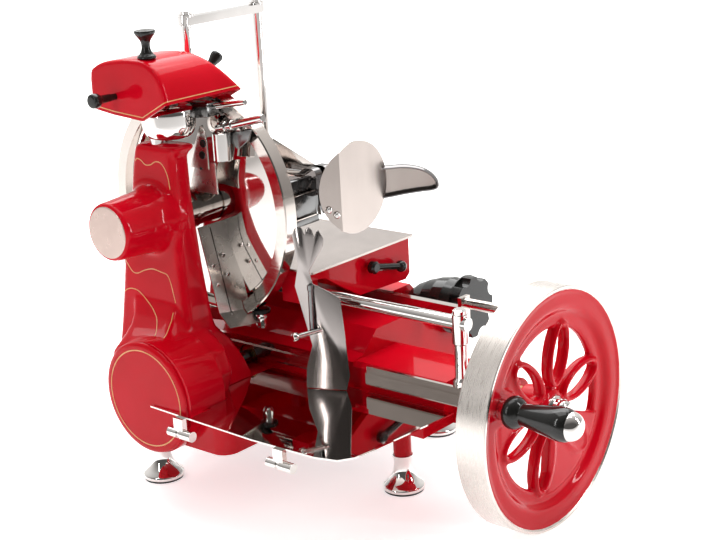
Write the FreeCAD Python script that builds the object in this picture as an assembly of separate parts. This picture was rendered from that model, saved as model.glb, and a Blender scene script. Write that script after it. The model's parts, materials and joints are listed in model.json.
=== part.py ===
import FreeCAD, Part
import math
import os

# Hand crank meat slicer with a flywheel, in millimetres, +Z up.
# Everything is modelled from the blade: X runs along the blade's axis towards the meat,
# -Y points at the person who turns the flywheel, and the blade's axis is Y = 0, Z = 0.
# Each finished shape is then moved so that the origin is the middle of the footprint.
V = FreeCAD.Vector

# Where the blade stands in the part's own frame
RING_FACE_X = -68.0      # back face of the guard ring, from the middle of the footprint
BLADE_AXIS_Y = 207.5     # blade axis, from the middle of the footprint
BLADE_AXIS_Z = 383.0     # blade axis above the surface that the feet stand on

# Clearances
RUN = 0.05               # radial clearance of a shaft in its bearing
SLIDE = 0.1              # clearance of a part that slides along a rod
GAP = 0.5                # free gap between parts that move past one another

# Blade and its guard ring
BLADE_R = 150.0
BLADE_BACK = 15.0        # back face of the blade's flat web, from the ring's back face
BLADE_WEB = 3.0
BLADE_EDGE = 8.0         # how far the cutting edge stands forward of the back face
BLADE_HUB_R = 34.0
RING_WALL = 13.0
RING_AIR = 2.0           # free gap between the blade's edge and the ring's wall
RING_COVER = 3.0         # how far the ring's face reaches over the blade's edge
RING_DEPTH = 22.0
RING_LIP = 3.0           # thickness of the ring's face
RING_R = BLADE_R + RING_AIR + RING_WALL
RING_LIP_R = BLADE_R - RING_COVER

# Blade shaft
SHAFT_R = 12.0
SLEEVE_R = 26.0          # fixed sleeve that carries the blade shaft's front bearing
SLEEVE_END = 3.0
CAP_R = 35.0             # pale disc that closes the boss
BOSS_R = 38.5
BOSS_FOOT_R = 49.0
BOSS_FACE = -165.0
BEARING_WIDTH = 14.0
BEARING_RACE = 6.0       # how much larger a bearing is than the shaft in it
CAP_THICK = 3.0

# Lower cross shaft, its cover and the bevel gears
CROSS_Y = -46.0
CROSS_Z = -222.0
CROSS_R = 10.0
DRUM_R = 77.0
DRUM_FACE = -158.0
COVER_THICK = 5.0
WHEEL_X = 92.0           # flywheel axis
BEVEL_TEETH = 32         # on the flywheel shaft
PINION_TEETH = 16        # on the cross shaft
BEVEL_MODULE = 2.25
BEVEL_FACE = 11.0
BEVEL_PLAY = 0.2         # each flank is this much thinner than a tight mesh

# Chain drive inside the column
CHAIN_X = -64.0
CHAIN_PITCH = 7.0
BIG_TEETH = 28
SMALL_TEETH = 18
SPROCKET_WIDTH = 5.0
CHAIN_WIDTH = 12.0
CHAIN_BAND = 4.0

# Column: height, back and front of the left face, left and right sides, corner radius
COLUMN_LEVELS = (
    (-236.0, 72.0, -92.0, -118.0, -8.0, 9.0),
    (-205.0, 70.0, -86.0, -110.0, -16.0, 10.0),
    (-172.0, 68.0, -74.0, -104.0, -34.0, 11.0),
    (-140.0, 66.0, -65.0, -100.0, -45.0, 11.0),
    (-60.0, 60.0, -54.0, -92.0, -48.0, 11.0),
    (30.0, 44.0, -45.0, -84.0, -48.0, 10.0),
    (100.0, 32.0, -42.0, -80.0, -46.0, 9.0),
)

# Base casting
TRAY_TOP = -230.0
TRAY_PLATE = 2.0
BASE_TOP = -165.0
BASE_BOTTOM = -272.0
BASE_WALL = 7.0
BODY_FRONT = -235.0
BODY_BACK = 205.0
BODY_LEFT = 38.0
BODY_RIGHT = 292.0
WING_LEFT = -139.0
WING_FRONT = -162.0
WING_BACK = 24.0
WING_INNER = -105.0      # right of this the wing reaches further back
WING_INNER_BACK = 70.0
WING_BOTTOM = -289.0
APRON_LEFT = -8.0
APRON_BOTTOM = -257.0
APRON_FRONT = -386.0
TUNNEL_FRONT = -462.0
TUNNEL_TOP = -197.0
TUNNEL_RIGHT = 146.0
TUNNEL_BORE = 20.0

# Feet
FOOT_R = 29.5
FOOT_HEIGHT = 52.0
LEG_R = 12.5
LEFT_FOOT = (-82.0, 28.0)
FRONT_FOOT = (74.0, -284.0)
RIGHT_FOOT = (262.0, -200.0)
REAR_FOOT = (262.0, 140.0)

# Flywheel
WHEEL_FACE = -523.0
WHEEL_R = 159.0
WHEEL_WIDTH = 43.0
RIM_THICK = 13.0
WEB_THICK = 14.0
WHEEL_SHAFT_R = 12.0
WHEEL_HUB_R = 27.0
PETALS = 6
FIRST_PETAL = 15.0       # degrees from +X, seen by the person at the wheel
PETAL_LONG = 42.0
PETAL_WIDE = 19.0
PETAL_BAR = 8.0
PETAL_AT = 70.0
HANDLE_ANGLE = 161.0
HANDLE_AT = 125.0
HANDLE_LENGTH = 104.0
PIN_R = 6.0

# Fixed rail and guide rods for the carriage
RAIL_TOP = -196.0
RAIL_HEIGHT = 25.0
RAIL_THICK = 8.0
ROD_X = 45.0
ROD_Z = -113.0
ROD_R = 9.0
ROD_FRONT = -423.0
ROD_BACK = 222.0
POST_Y = -410.0
POST_R = 8.5

# Carriage, table and press
TABLE_TOP = -78.0
TABLE_PLATE = 3.0
TABLE_LEFT = 28.0
TABLE_RIGHT = 250.0
TABLE_FRONT = -180.0
TABLE_BACK = 110.0
CARRIAGE_FRONT = -172.0
CARRIAGE_BACK = 104.0
CARRIAGE_RIGHT = 247.0
CARRIAGE_DROP = 62.0     # depth of the casting under the table at its right side
LEVER_X = 152.0
LEVER_Y = -184.0
LEVER_Z = -102.0
PRESS_POST_R = 8.0
LEFT_POST = (55.5, 52.0)
RIGHT_POST = (198.0, 52.0)
POST_TOP = 250.0
TRACK_X = 198.0
TRACK_WIDTH = 12.0
TRACK_HEIGHT = 12.0

# Thickness setting
DIAL_X = 272.0
DIAL_Z = -180.5
DIAL_Y = -250.0
DIAL_R = 45.0
DIAL_LENGTH = 96.0
SPINDLE_R = 7.0

# Polished plate between the column and the blade
PLATE_TOP_Y = -44.0
PLATE_TOP_Z = -16.0
PLATE_LEAN = 0.24
PLATE_THICK = 2.0

# Sharpener on top of the column
HOOD_LEFT = -100.0
HOOD_RIGHT = 44.0
HOOD_BACK = 84.0
HOOD_FRONT = -62.0
HOOD_BOTTOM = RING_R - 24.0
HOOD_TOP = HOOD_BOTTOM + 73.0
HOOD_WALL = 3.0
FRAME_TOP = HOOD_BOTTOM + 43.0   # top of the plate that carries the stones
FRAME_THICK = 6.0
HONER_INSET = 4.0        # how much deeper under the hood the honing stone sits
KNOB_X = -80.0
KNOB_Y = -12.0

SHAPES = {}


def keep(name, shape):
    """Store a finished piece under its node name."""
    SHAPES[name] = shape.removeSplitter()


def fuse(shapes):
    """Join pieces of one casting or one turned part."""
    first, rest = shapes[0], list(shapes[1:])
    return first.fuse(rest) if rest else first


def rod_x(x0, x1, y, z, r):
    return Part.makeCylinder(r, x1 - x0, V(x0, y, z), V(1, 0, 0))


def rod_y(y0, y1, x, z, r):
    return Part.makeCylinder(r, y1 - y0, V(x, y0, z), V(0, 1, 0))


def rod_z(z0, z1, x, y, r):
    return Part.makeCylinder(r, z1 - z0, V(x, y, z0), V(0, 0, 1))


def block(x0, x1, y0, y1, z0, z1):
    return Part.makeBox(x1 - x0, y1 - y0, z1 - z0, V(x0, y0, z0))


def prism(points, travel):
    """Polygon through the points, pushed along the travel vector."""
    wire = Part.makePolygon(list(points) + [points[0]])
    return Part.Face(wire).extrude(travel)


def prism_xz(points, y0, y1):
    return prism([V(x, y0, z) for x, z in points], V(0, y1 - y0, 0))


def prism_yz(points, x0, x1):
    return prism([V(x0, y, z) for y, z in points], V(x1 - x0, 0, 0))


def prism_xy(points, z0, z1):
    return prism([V(x, y, z0) for x, y in points], V(0, 0, z1 - z0))


def turned(profile, base, axis):
    """Solid of revolution: the profile holds (distance along the axis, radius) pairs."""
    points = [V(r, 0, h) for h, r in profile]
    face = Part.Face(Part.makePolygon(points + [points[0]]))
    shape = face.revolve(V(0, 0, 0), V(0, 0, 1), 360)
    shape.Placement = FreeCAD.Placement(base, FreeCAD.Rotation(V(0, 0, 1), axis))
    return shape


def rounded_block(x0, x1, y0, y1, z0, z1, r, direction="Z"):
    """Box whose edges along one direction are rounded."""
    box = block(x0, x1, y0, y1, z0, z1)
    picked = []
    for edge in box.Edges:
        way = edge.tangentAt(edge.FirstParameter)
        if abs(getattr(way, direction.lower())) > 0.9:
            picked.append(edge)
    return box.makeFillet(r, picked)


def rounded_section(level, grow):
    """Closed wire around the column at one height, moved outwards by grow."""
    z, back, front, left, right, corner = level
    x0, x1 = left - grow, right + grow
    y0, y1 = front - grow, back + grow
    r = max(corner + grow, 1.0)
    q = r * (1 - math.sqrt(0.5))
    edges = [
        Part.LineSegment(V(x0 + r, y0, z), V(x1 - r, y0, z)).toShape(),
        Part.Arc(V(x1 - r, y0, z), V(x1 - q, y0 + q, z), V(x1, y0 + r, z)).toShape(),
        Part.LineSegment(V(x1, y0 + r, z), V(x1, y1 - r, z)).toShape(),
        Part.Arc(V(x1, y1 - r, z), V(x1 - q, y1 - q, z), V(x1 - r, y1, z)).toShape(),
        Part.LineSegment(V(x1 - r, y1, z), V(x0 + r, y1, z)).toShape(),
        Part.Arc(V(x0 + r, y1, z), V(x0 + q, y1 - q, z), V(x0, y1 - r, z)).toShape(),
        Part.LineSegment(V(x0, y1 - r, z), V(x0, y0 + r, z)).toShape(),
        Part.Arc(V(x0, y0 + r, z), V(x0 + q, y0 + q, z), V(x0 + r, y0, z)).toShape(),
    ]
    return Part.Wire(edges)


def pitch_radius(teeth, pitch):
    return pitch / (2 * math.sin(math.pi / teeth))


BIG_PITCH_R = pitch_radius(BIG_TEETH, CHAIN_PITCH)
SMALL_PITCH_R = pitch_radius(SMALL_TEETH, CHAIN_PITCH)
BEVEL_R = BEVEL_TEETH * BEVEL_MODULE / 2
PINION_R = PINION_TEETH * BEVEL_MODULE / 2
FLOOR = -BLADE_AXIS_Z
WHEEL_BACK = WHEEL_FACE + WHEEL_WIDTH


def belt_outline(grow, x):
    """Closed wire round both sprockets at their pitch circles, moved outwards by grow."""
    r1, r2 = BIG_PITCH_R + grow, SMALL_PITCH_R + grow
    length = math.hypot(CROSS_Y, CROSS_Z)
    along = V(0, -CROSS_Y / length, -CROSS_Z / length)
    side = V(0, along.z, -along.y)
    lean = math.asin((r1 - r2) / length)
    low, high = V(x, CROSS_Y, CROSS_Z), V(x, 0, 0)

    def point(centre, r, sign):
        return centre + along * (r * math.sin(lean)) + side * (sign * r * math.cos(lean))

    a, b = point(low, r1, 1), point(high, r2, 1)
    c, d = point(high, r2, -1), point(low, r1, -1)
    return Part.Wire([
        Part.LineSegment(a, b).toShape(),
        Part.Arc(b, high + along * r2, c).toShape(),
        Part.LineSegment(c, d).toShape(),
        Part.Arc(d, low - along * r1, a).toShape(),
    ])


def sprocket(teeth, x, y, z, bore):
    """Flat sprocket with rounded tooth spaces, its tips just inside the chain's band."""
    root = pitch_radius(teeth, CHAIN_PITCH)
    tip = root - CHAIN_BAND / 2 - GAP
    disc = rod_x(x - SPROCKET_WIDTH / 2, x + SPROCKET_WIDTH / 2, y, z, tip)
    cuts = []
    for i in range(teeth):
        angle = 2 * math.pi * i / teeth
        cy = y + (tip + 0.6) * math.cos(angle)
        cz = z + (tip + 0.6) * math.sin(angle)
        cuts.append(rod_x(x - SPROCKET_WIDTH, x + SPROCKET_WIDTH, cy, cz, 2.6))
    boss = rod_x(x - SPROCKET_WIDTH / 2 - 4, x + SPROCKET_WIDTH / 2 + 4, y, z, bore + 5)
    hole = rod_x(x - 20, x + 20, y, z, bore)
    return disc.cut(Part.makeCompound(cuts)).fuse(boss).cut(hole)


def bevel_gear(teeth, mate_teeth, phase, bore, hub_back):
    """Straight bevel gear about +Z with the apex of its pitch cone at the origin.

    The big end lies at the height of the mate's pitch radius, and every section shrinks
    towards the apex, so the flanks run to the point where the two shafts would meet.
    """
    pitch_r = teeth * BEVEL_MODULE / 2
    depth = mate_teeth * BEVEL_MODULE / 2
    slope = math.atan2(pitch_r, depth)
    outer = pitch_r + BEVEL_MODULE * 0.9 * math.cos(slope)
    inner = pitch_r - BEVEL_MODULE * 1.15 * math.cos(slope)
    outer_z = depth - BEVEL_MODULE * 0.9 * math.sin(slope)
    inner_z = depth + BEVEL_MODULE * 1.15 * math.sin(slope)
    step = 2 * math.pi / teeth
    play = BEVEL_PLAY / pitch_r
    tip_half = step * 0.12 - play
    root_half = step * 0.34 - play
    cone = math.hypot(pitch_r, depth)
    shrink = (cone - BEVEL_FACE) / cone

    def ring(scale):
        points = []
        for i in range(teeth):
            mid = phase + i * step
            for offset, r, z in ((-root_half, inner, inner_z), (-tip_half, outer, outer_z),
                                 (tip_half, outer, outer_z), (root_half, inner, inner_z)):
                angle = mid + offset
                points.append(V(r * math.cos(angle), r * math.sin(angle), z) * scale)
        return points

    big, small = ring(1.0), ring(shrink)
    count = len(big)
    top = V(0, 0, inner_z)
    low = V(0, 0, inner_z * shrink)
    faces = []
    for i in range(count):
        j = (i + 1) % count
        for corners in ((big[i], big[j], small[j]), (big[i], small[j], small[i]),
                        (big[j], big[i], top), (small[i], small[j], low)):
            faces.append(Part.Face(Part.makePolygon(list(corners) + [corners[0]])))
    gear = Part.Solid(Part.Shell(faces))
    if gear.Volume < 0:
        gear.reverse()
    hub = Part.makeCylinder(bore + 5, hub_back, V(0, 0, inner_z - 0.5))
    hole = Part.makeCylinder(bore, 400, V(0, 0, -200))
    return gear.fuse(hub).cut(hole)


def make_base():
    """Hollow casting: body under the carriage, left wing and shaft tunnel, with the shelf beside it."""
    body = prism_xz(((BODY_LEFT, BASE_BOTTOM), (BODY_LEFT, TUNNEL_TOP), (62.0, -192.0),
                     (90.0, BASE_TOP), (BODY_RIGHT - 16, BASE_TOP),
                     (BODY_RIGHT, BASE_TOP - 16), (BODY_RIGHT, BASE_BOTTOM)),
                    BODY_FRONT, BODY_BACK)
    tunnel = prism_xz(((BODY_LEFT, APRON_BOTTOM), (BODY_LEFT, TUNNEL_TOP - 6),
                       (BODY_LEFT + 6, TUNNEL_TOP), (TUNNEL_RIGHT - 14, TUNNEL_TOP),
                       (TUNNEL_RIGHT, TUNNEL_TOP - 14), (TUNNEL_RIGHT, APRON_BOTTOM)),
                      APRON_FRONT, BODY_FRONT + 1)
    nose = rod_y(TUNNEL_FRONT, APRON_FRONT + 1, WHEEL_X, CROSS_Z, TUNNEL_BORE + 10)
    nose_foot = prism_xz(((WHEEL_X - 30, CROSS_Z), (WHEEL_X - 36, APRON_BOTTOM),
                          (WHEEL_X + 36, APRON_BOTTOM), (WHEEL_X + 30, CROSS_Z)),
                         -425.0, APRON_FRONT + 1)
    wing_top = TRAY_TOP - TRAY_PLATE - GAP
    wing = rounded_block(WING_LEFT, BODY_LEFT + 1, WING_FRONT, WING_BACK,
                         WING_BOTTOM, wing_top, 22.0)
    inner_wing = rounded_block(WING_INNER, BODY_LEFT + 1, WING_FRONT + 40, WING_INNER_BACK,
                               WING_BOTTOM, wing_top, 12.0)
    apron = block(BODY_LEFT, TUNNEL_RIGHT, APRON_FRONT, BODY_FRONT + 1,
                  APRON_BOTTOM, wing_top)
    shelf = block(APRON_LEFT, BODY_LEFT, APRON_FRONT, BODY_FRONT + 1,
                  APRON_BOTTOM, wing_top)
    drum = rod_x(DRUM_FACE, WING_LEFT + 44, CROSS_Y, CROSS_Z, DRUM_R)
    casting = fuse([body, tunnel, nose, nose_foot, wing, inner_wing, apron, drum])

    w = BASE_WALL
    gear_room = prism_xz(((BODY_LEFT + w, BASE_BOTTOM - 1), (BODY_LEFT + w, -208.0),
                          (66.0, -200.0), (94.0, BASE_TOP - w),
                          (BODY_RIGHT - 20, BASE_TOP - w),
                          (BODY_RIGHT - w, BASE_TOP - 20), (BODY_RIGHT - w, BASE_BOTTOM - 1)),
                         BODY_FRONT + w, BODY_BACK - w)
    bell_back = DIAL_Y + DIAL_LENGTH + 6
    niche = rod_y(BODY_FRONT - 1, bell_back, DIAL_X, DIAL_Z, DIAL_R - 2)
    niche_wall = rod_y(BODY_FRONT, bell_back + w, DIAL_X, DIAL_Z, DIAL_R - 2 + w)
    foot_blocks = fuse([block(x - 24, BODY_RIGHT - 1, y - 24, y + 24, BASE_BOTTOM + 4, -236)
                        for x, y in (RIGHT_FOOT, REAR_FOOT)])
    gear_room = gear_room.cut(niche_wall).cut(foot_blocks)
    drum_room = rod_x(DRUM_FACE - 1, CHAIN_X + 9, CROSS_Y, CROSS_Z, BIG_PITCH_R + 8)
    pinion_room = rod_x(BODY_LEFT + w, 80, CROSS_Y, CROSS_Z, PINION_R + 3)
    wheel_room = rod_y(-80, -50, WHEEL_X, CROSS_Z, BEVEL_R + 2.5)
    chain_way = prism_yz(((CROSS_Y - BIG_PITCH_R - 8, CROSS_Z),
                          (CROSS_Y + BIG_PITCH_R + 8, CROSS_Z),
                          (CROSS_Y + BIG_PITCH_R + 2, DRUM_R + CROSS_Z + 60),
                          (CROSS_Y - BIG_PITCH_R, DRUM_R + CROSS_Z + 60)),
                         CHAIN_X - 9, CHAIN_X + 9)
    shaft_way = rod_y(TUNNEL_FRONT - 1, BODY_FRONT + w + 1, WHEEL_X, CROSS_Z, TUNNEL_BORE)
    seats = [rod_x(x, x + BEARING_WIDTH, CROSS_Y, CROSS_Z, CROSS_R + BEARING_RACE)
             for x in cross_bearing_places()]
    for room in [gear_room, drum_room, pinion_room, wheel_room, chain_way, shaft_way, niche] + seats:
        casting = casting.cut(room)
    casting = casting.cut(rod_y(-240, -100, DIAL_X, DIAL_Z, SPINDLE_R))
    legs = []
    for (x, y), top in ((LEFT_FOOT, WING_BOTTOM), (FRONT_FOOT, APRON_BOTTOM),
                        (RIGHT_FOOT, BASE_BOTTOM), (REAR_FOOT, BASE_BOTTOM)):
        legs.append(rod_z(FLOOR + FOOT_HEIGHT, top + 5, x, y, LEG_R))
    stand = block(3, RING_DEPTH - 3, 18, 62, wing_top, -150)
    stand = stand.cut(rod_x(-1, RING_DEPTH, 0, 0, RING_R))
    main = fuse([casting, stand] + legs + bearing_webs())
    keep("base_casting", Part.makeCompound([main, shelf]))

    rim = block(BODY_LEFT + w, BODY_RIGHT - w, BODY_FRONT + w, BODY_BACK - w,
                BASE_BOTTOM, BASE_BOTTOM + 3)
    keep("base_floor_plate", rim.cut(SHAPES["base_casting"]))


def cross_bearing_places():
    """Left ends of the four bearings along the cross shaft."""
    return DRUM_FACE + 12, -30.0, BODY_LEFT - 5, 150.0


def bearing_webs():
    """Walls inside the casting that hold the bearings of the cross shaft."""
    places = cross_bearing_places()
    seat = rod_x(-300, 300, CROSS_Y, CROSS_Z, CROSS_R + BEARING_RACE)
    drum_web = rod_x(places[0] + 2, places[0] + 12, CROSS_Y, CROSS_Z, BIG_PITCH_R + 9)
    body_web = block(places[3] + 2, places[3] + 12, CROSS_Y - 22, CROSS_Y + 22,
                     BASE_BOTTOM + 4, BASE_TOP - BASE_WALL + 1)
    return [web.cut(seat) for web in (drum_web, body_web)]


def make_column():
    """Hollow upright with the boss for the blade shaft."""
    outer = Part.makeLoft([rounded_section(level, 0) for level in COLUMN_LEVELS], True, False)
    boss = turned(((0, 0), (0, BOSS_R - 2), (2, BOSS_R), (84, BOSS_FOOT_R), (84, 0)),
                  V(BOSS_FACE, 0, 0), V(1, 0, 0))
    room = Part.Face(belt_outline(CHAIN_BAND / 2 + 1.5, CHAIN_X - 8)).extrude(V(16, 0, 0))
    bore = rod_x(BOSS_FACE - 1, 0, 0, 0, SHAFT_R + BEARING_RACE)
    pocket = rod_x(BOSS_FACE - 1, BOSS_FACE + CAP_THICK, 0, 0, CAP_R)
    drum = rod_x(DRUM_FACE - 1, WING_LEFT + 44, CROSS_Y, CROSS_Z, DRUM_R)
    shaft_way = rod_x(-200, 0, CROSS_Y, CROSS_Z, CROSS_R + BEARING_RACE)
    column = outer.fuse(boss).cut(Part.makeCompound([room, bore, pocket, drum, shaft_way]))
    keep("column_casting", column.cut(SHAPES["base_casting"]))


def make_covers():
    """Round cover of the drum and the disc that closes the boss."""
    cover = turned(((0, 0), (0, DRUM_R - 3), (3, DRUM_R), (COVER_THICK, DRUM_R),
                    (COVER_THICK, 0)), V(DRUM_FACE - COVER_THICK, CROSS_Y, CROSS_Z), V(1, 0, 0))
    keep("drum_cover", cover)
    keep("boss_cap", rod_x(BOSS_FACE, BOSS_FACE + CAP_THICK, 0, 0, CAP_R))


def bearing(x0, width, y, z, shaft_r):
    """Plain bearing ring about an X axis."""
    ring = rod_x(x0, x0 + width, y, z, shaft_r + BEARING_RACE)
    return ring.cut(rod_x(x0 - 1, x0 + width + 1, y, z, shaft_r + RUN))


def make_blade_drive():
    """Blade, hub and shaft, with the fixed sleeve, bearings and guard ring round them."""
    back = BLADE_BACK
    blade = turned(((0, SHAFT_R - 4), (0, BLADE_R - 12), (BLADE_EDGE - 1.5, BLADE_R - 0.6),
                    (BLADE_EDGE, BLADE_R), (BLADE_EDGE + 0.6, BLADE_R - 2.0),
                    (BLADE_WEB + 2, BLADE_R - 14), (BLADE_WEB, BLADE_R - 22), (BLADE_WEB, SHAFT_R - 4)),
                   V(back, 0, 0), V(1, 0, 0))
    hub = turned(((0, 0), (0, SLEEVE_R), (back - SLEEVE_END - GAP - 3, SLEEVE_R),
                  (back - SLEEVE_END - GAP - 3, BLADE_HUB_R), (back - SLEEVE_END - GAP, BLADE_HUB_R),
                  (back - SLEEVE_END - GAP, 0)), V(SLEEVE_END + GAP, 0, 0), V(1, 0, 0))
    shaft_left = BOSS_FACE + CAP_THICK + 6
    shaft = rod_x(shaft_left, SLEEVE_END + GAP, 0, 0, SHAFT_R)
    spigot = rod_x(back, back + BLADE_WEB + 4, 0, 0, SHAFT_R - 4)
    keep("blade", blade)
    keep("blade_shaft", shaft)
    keep("blade_hub", hub.fuse(spigot))
    nuts = []
    for i in range(4):
        angle = math.radians(45 + 90 * i)
        y, z = 23.0 * math.cos(angle), 23.0 * math.sin(angle)
        nuts.append(rod_x(back + BLADE_WEB, back + BLADE_WEB + 2.5, y, z, 4.5))
    keep("blade_screws", Part.makeCompound(nuts))
    keep("blade_sprocket", sprocket(SMALL_TEETH, CHAIN_X, 0, 0, SHAFT_R))
    rear = bearing(shaft_left + 6, BEARING_WIDTH, 0, 0, SHAFT_R)
    front = bearing(SLEEVE_END - BEARING_WIDTH, BEARING_WIDTH, 0, 0, SHAFT_R)
    keep("blade_bearings", Part.makeCompound([rear, front]))
    sleeve = rod_x(-56, SLEEVE_END, 0, 0, SLEEVE_R)
    sleeve = sleeve.cut(rod_x(-60, SLEEVE_END + 1, 0, 0, SHAFT_R + BEARING_RACE))
    collar = rod_x(-22, -16, 0, 0, SLEEVE_R + 2).cut(rod_x(-24, -14, 0, 0, SLEEVE_R - 1))
    sleeve = sleeve.fuse(collar).cut(SHAPES["column_casting"])
    keep("blade_sleeve", sleeve)

    ring = turned(((0, RING_LIP_R), (0, RING_R - 1.5), (1.5, RING_R), (RING_DEPTH - 1.5, RING_R),
                   (RING_DEPTH, RING_R - 1.5), (RING_DEPTH, RING_R - RING_WALL),
                   (RING_LIP, RING_R - RING_WALL), (RING_LIP, RING_LIP_R)),
                  V(0, 0, 0), V(1, 0, 0))
    keep("guard_ring", ring)
    notch = block(-1, RING_DEPTH + 1, -34, 60, RING_R - 37, RING_R + 1)
    SHAPES["guard_ring"] = SHAPES["guard_ring"].cut(notch)


def make_cross_shaft():
    """Lower shaft with the big sprocket, the bevel pinion and the crank that moves the carriage."""
    left, right = DRUM_FACE + 8, 232.0
    apex = V(WHEEL_X, CROSS_Y, CROSS_Z)
    pinion = bevel_gear(PINION_TEETH, BEVEL_TEETH, math.pi / PINION_TEETH, CROSS_R, 7.0)
    pinion.Placement = FreeCAD.Placement(apex, FreeCAD.Rotation(V(0, 0, 1), V(-1, 0, 0)))
    keep("cross_pinion", pinion)
    keep("cross_shaft", rod_x(left, right, CROSS_Y, CROSS_Z, CROSS_R))
    keep("cross_sprocket", sprocket(BIG_TEETH, CHAIN_X, CROSS_Y, CROSS_Z, CROSS_R))
    disc = rod_x(right - 34, right - 24, CROSS_Y, CROSS_Z, 40.0)
    disc = disc.fuse(rod_x(right - 40, right - 24, CROSS_Y, CROSS_Z, CROSS_R + 8))
    disc = disc.cut(rod_x(right - 50, right, CROSS_Y, CROSS_Z, CROSS_R))
    pin = rod_x(right - 26, right - 6, CROSS_Y, CROSS_Z + 30, 6.0)
    keep("crank_disc", disc.fuse(pin))
    keep("cross_bearings", Part.makeCompound(
        [bearing(x, BEARING_WIDTH, CROSS_Y, CROSS_Z, CROSS_R) for x in cross_bearing_places()]))


def make_chain():
    """Chain as one closed band round both sprockets."""
    half = CHAIN_WIDTH / 2
    outer = Part.Face(belt_outline(CHAIN_BAND / 2, CHAIN_X - half)).extrude(V(CHAIN_WIDTH, 0, 0))
    inner = Part.Face(belt_outline(-CHAIN_BAND / 2, CHAIN_X - half)).extrude(V(CHAIN_WIDTH, 0, 0))
    keep("drive_chain", outer.cut(inner))


def make_flywheel_shaft():
    """Shaft of the flywheel with its bevel gear, running in two bushes in the tunnel."""
    apex = V(WHEEL_X, CROSS_Y, CROSS_Z)
    gear = bevel_gear(BEVEL_TEETH, PINION_TEETH, 0.0, WHEEL_SHAFT_R, 8.0)
    gear.Placement = FreeCAD.Placement(apex, FreeCAD.Rotation(V(0, 0, 1), V(0, -1, 0)))
    keep("flywheel_gear", gear)
    shaft_end = CROSS_Y - PINION_R * 0.7
    keep("flywheel_shaft", rod_y(WHEEL_FACE - 2, shaft_end, WHEEL_X, CROSS_Z, WHEEL_SHAFT_R))
    bushes = []
    for y in (TUNNEL_FRONT, BODY_FRONT - 20):
        bush = rod_y(y, y + 24, WHEEL_X, CROSS_Z, TUNNEL_BORE)
        bushes.append(bush.cut(rod_y(y - 1, y + 25, WHEEL_X, CROSS_Z, WHEEL_SHAFT_R + RUN)))
    keep("flywheel_bushes", Part.makeCompound(bushes))


def petal(length, width, at, angle, y0, y1):
    """Elliptical post through the wheel, its long side along a spoke."""
    curve = Part.Ellipse(V(0, 0, 0), length, width).toShape()
    solid = Part.Face(Part.Wire([curve])).extrude(V(0, 0, y1 - y0))
    solid.translate(V(at, 0, 0))
    solid.rotate(V(0, 0, 0), V(0, 0, 1), angle)
    solid.rotate(V(0, 0, 0), V(1, 0, 0), 90)
    solid.translate(V(WHEEL_X, y1, CROSS_Z))
    return solid


def wedge(first, last, r0, r1, y0, y1):
    """Part of a flat ring between two angles, in degrees from +X."""
    points = []
    for r, a, b in ((r0, first, last), (r1, last, first)):
        for k in range(9):
            angle = math.radians(a + (b - a) * k / 8)
            points.append((WHEEL_X + r * math.cos(angle), CROSS_Z + r * math.sin(angle)))
    return prism_xz(points, y0, y1)


def make_flywheel():
    """Cast wheel: rim, stepped web, hub, flower of six loops, counterweight and handle pad."""
    face, back = WHEEL_FACE, WHEEL_BACK
    rim_in = WHEEL_R - RIM_THICK
    web_in = 112.0
    web_y = face + 9.0
    rim = turned(((0, rim_in + 4), (0, WHEEL_R - 1), (1, WHEEL_R), (WHEEL_WIDTH - 1, WHEEL_R),
                  (WHEEL_WIDTH, WHEEL_R - 1), (WHEEL_WIDTH, rim_in), (22, rim_in),
                  (22, web_in + 4), (8, web_in + 4), (5, web_in + 12), (3, web_in + 14),
                  (3, rim_in + 2)), V(WHEEL_X, face, CROSS_Z), V(0, 1, 0))
    web = rod_y(web_y, web_y + WEB_THICK - 2, WHEEL_X, CROSS_Z, web_in + 6)
    openings = []
    for middle in (45, 105, 225, 345):
        openings.append(wedge(middle - 28, middle + 28, 33, web_in - 4, face, back))
    opening = fuse(openings)
    loops, slots = [], []
    for i in range(PETALS):
        angle = FIRST_PETAL + 360.0 * i / PETALS
        loops.append(petal(PETAL_LONG, PETAL_WIDE, PETAL_AT, angle, web_y - 3, web_y + WEB_THICK))
        slots.append(petal(PETAL_LONG - PETAL_BAR, PETAL_WIDE - PETAL_BAR, PETAL_AT, angle,
                           face - 1, back + 1))
    web = web.cut(opening)
    hub = rod_y(face + 2, back + 6, WHEEL_X, CROSS_Z, WHEEL_HUB_R)
    counter = wedge(264, 338, 40, rim_in + 1, face + 3, web_y + WEB_THICK)
    pad = wedge(HANDLE_ANGLE - 11, HANDLE_ANGLE + 11, 96, rim_in + 1, face + 2, web_y + WEB_THICK)
    wheel = fuse([rim, web, hub] + loops)
    wheel = wheel.cut(Part.makeCompound(slots[:5]))
    wheel = wheel.fuse([counter, pad])
    x, z = handle_place()
    bores = [rod_y(face - 20, back + 20, WHEEL_X, CROSS_Z, WHEEL_SHAFT_R),
             rod_y(face - 20, back + 20, x, z, PIN_R)]
    keep("flywheel", wheel.cut(Part.makeCompound(bores)))
    keep("hub_nut", turned(((0, 0), (0, 11), (4, 15), (12, 15), (12, 0)),
                           V(WHEEL_X, face - 14, CROSS_Z), V(0, 1, 0)))


def handle_place():
    angle = math.radians(HANDLE_ANGLE)
    return WHEEL_X + HANDLE_AT * math.cos(angle), CROSS_Z + HANDLE_AT * math.sin(angle)


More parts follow.
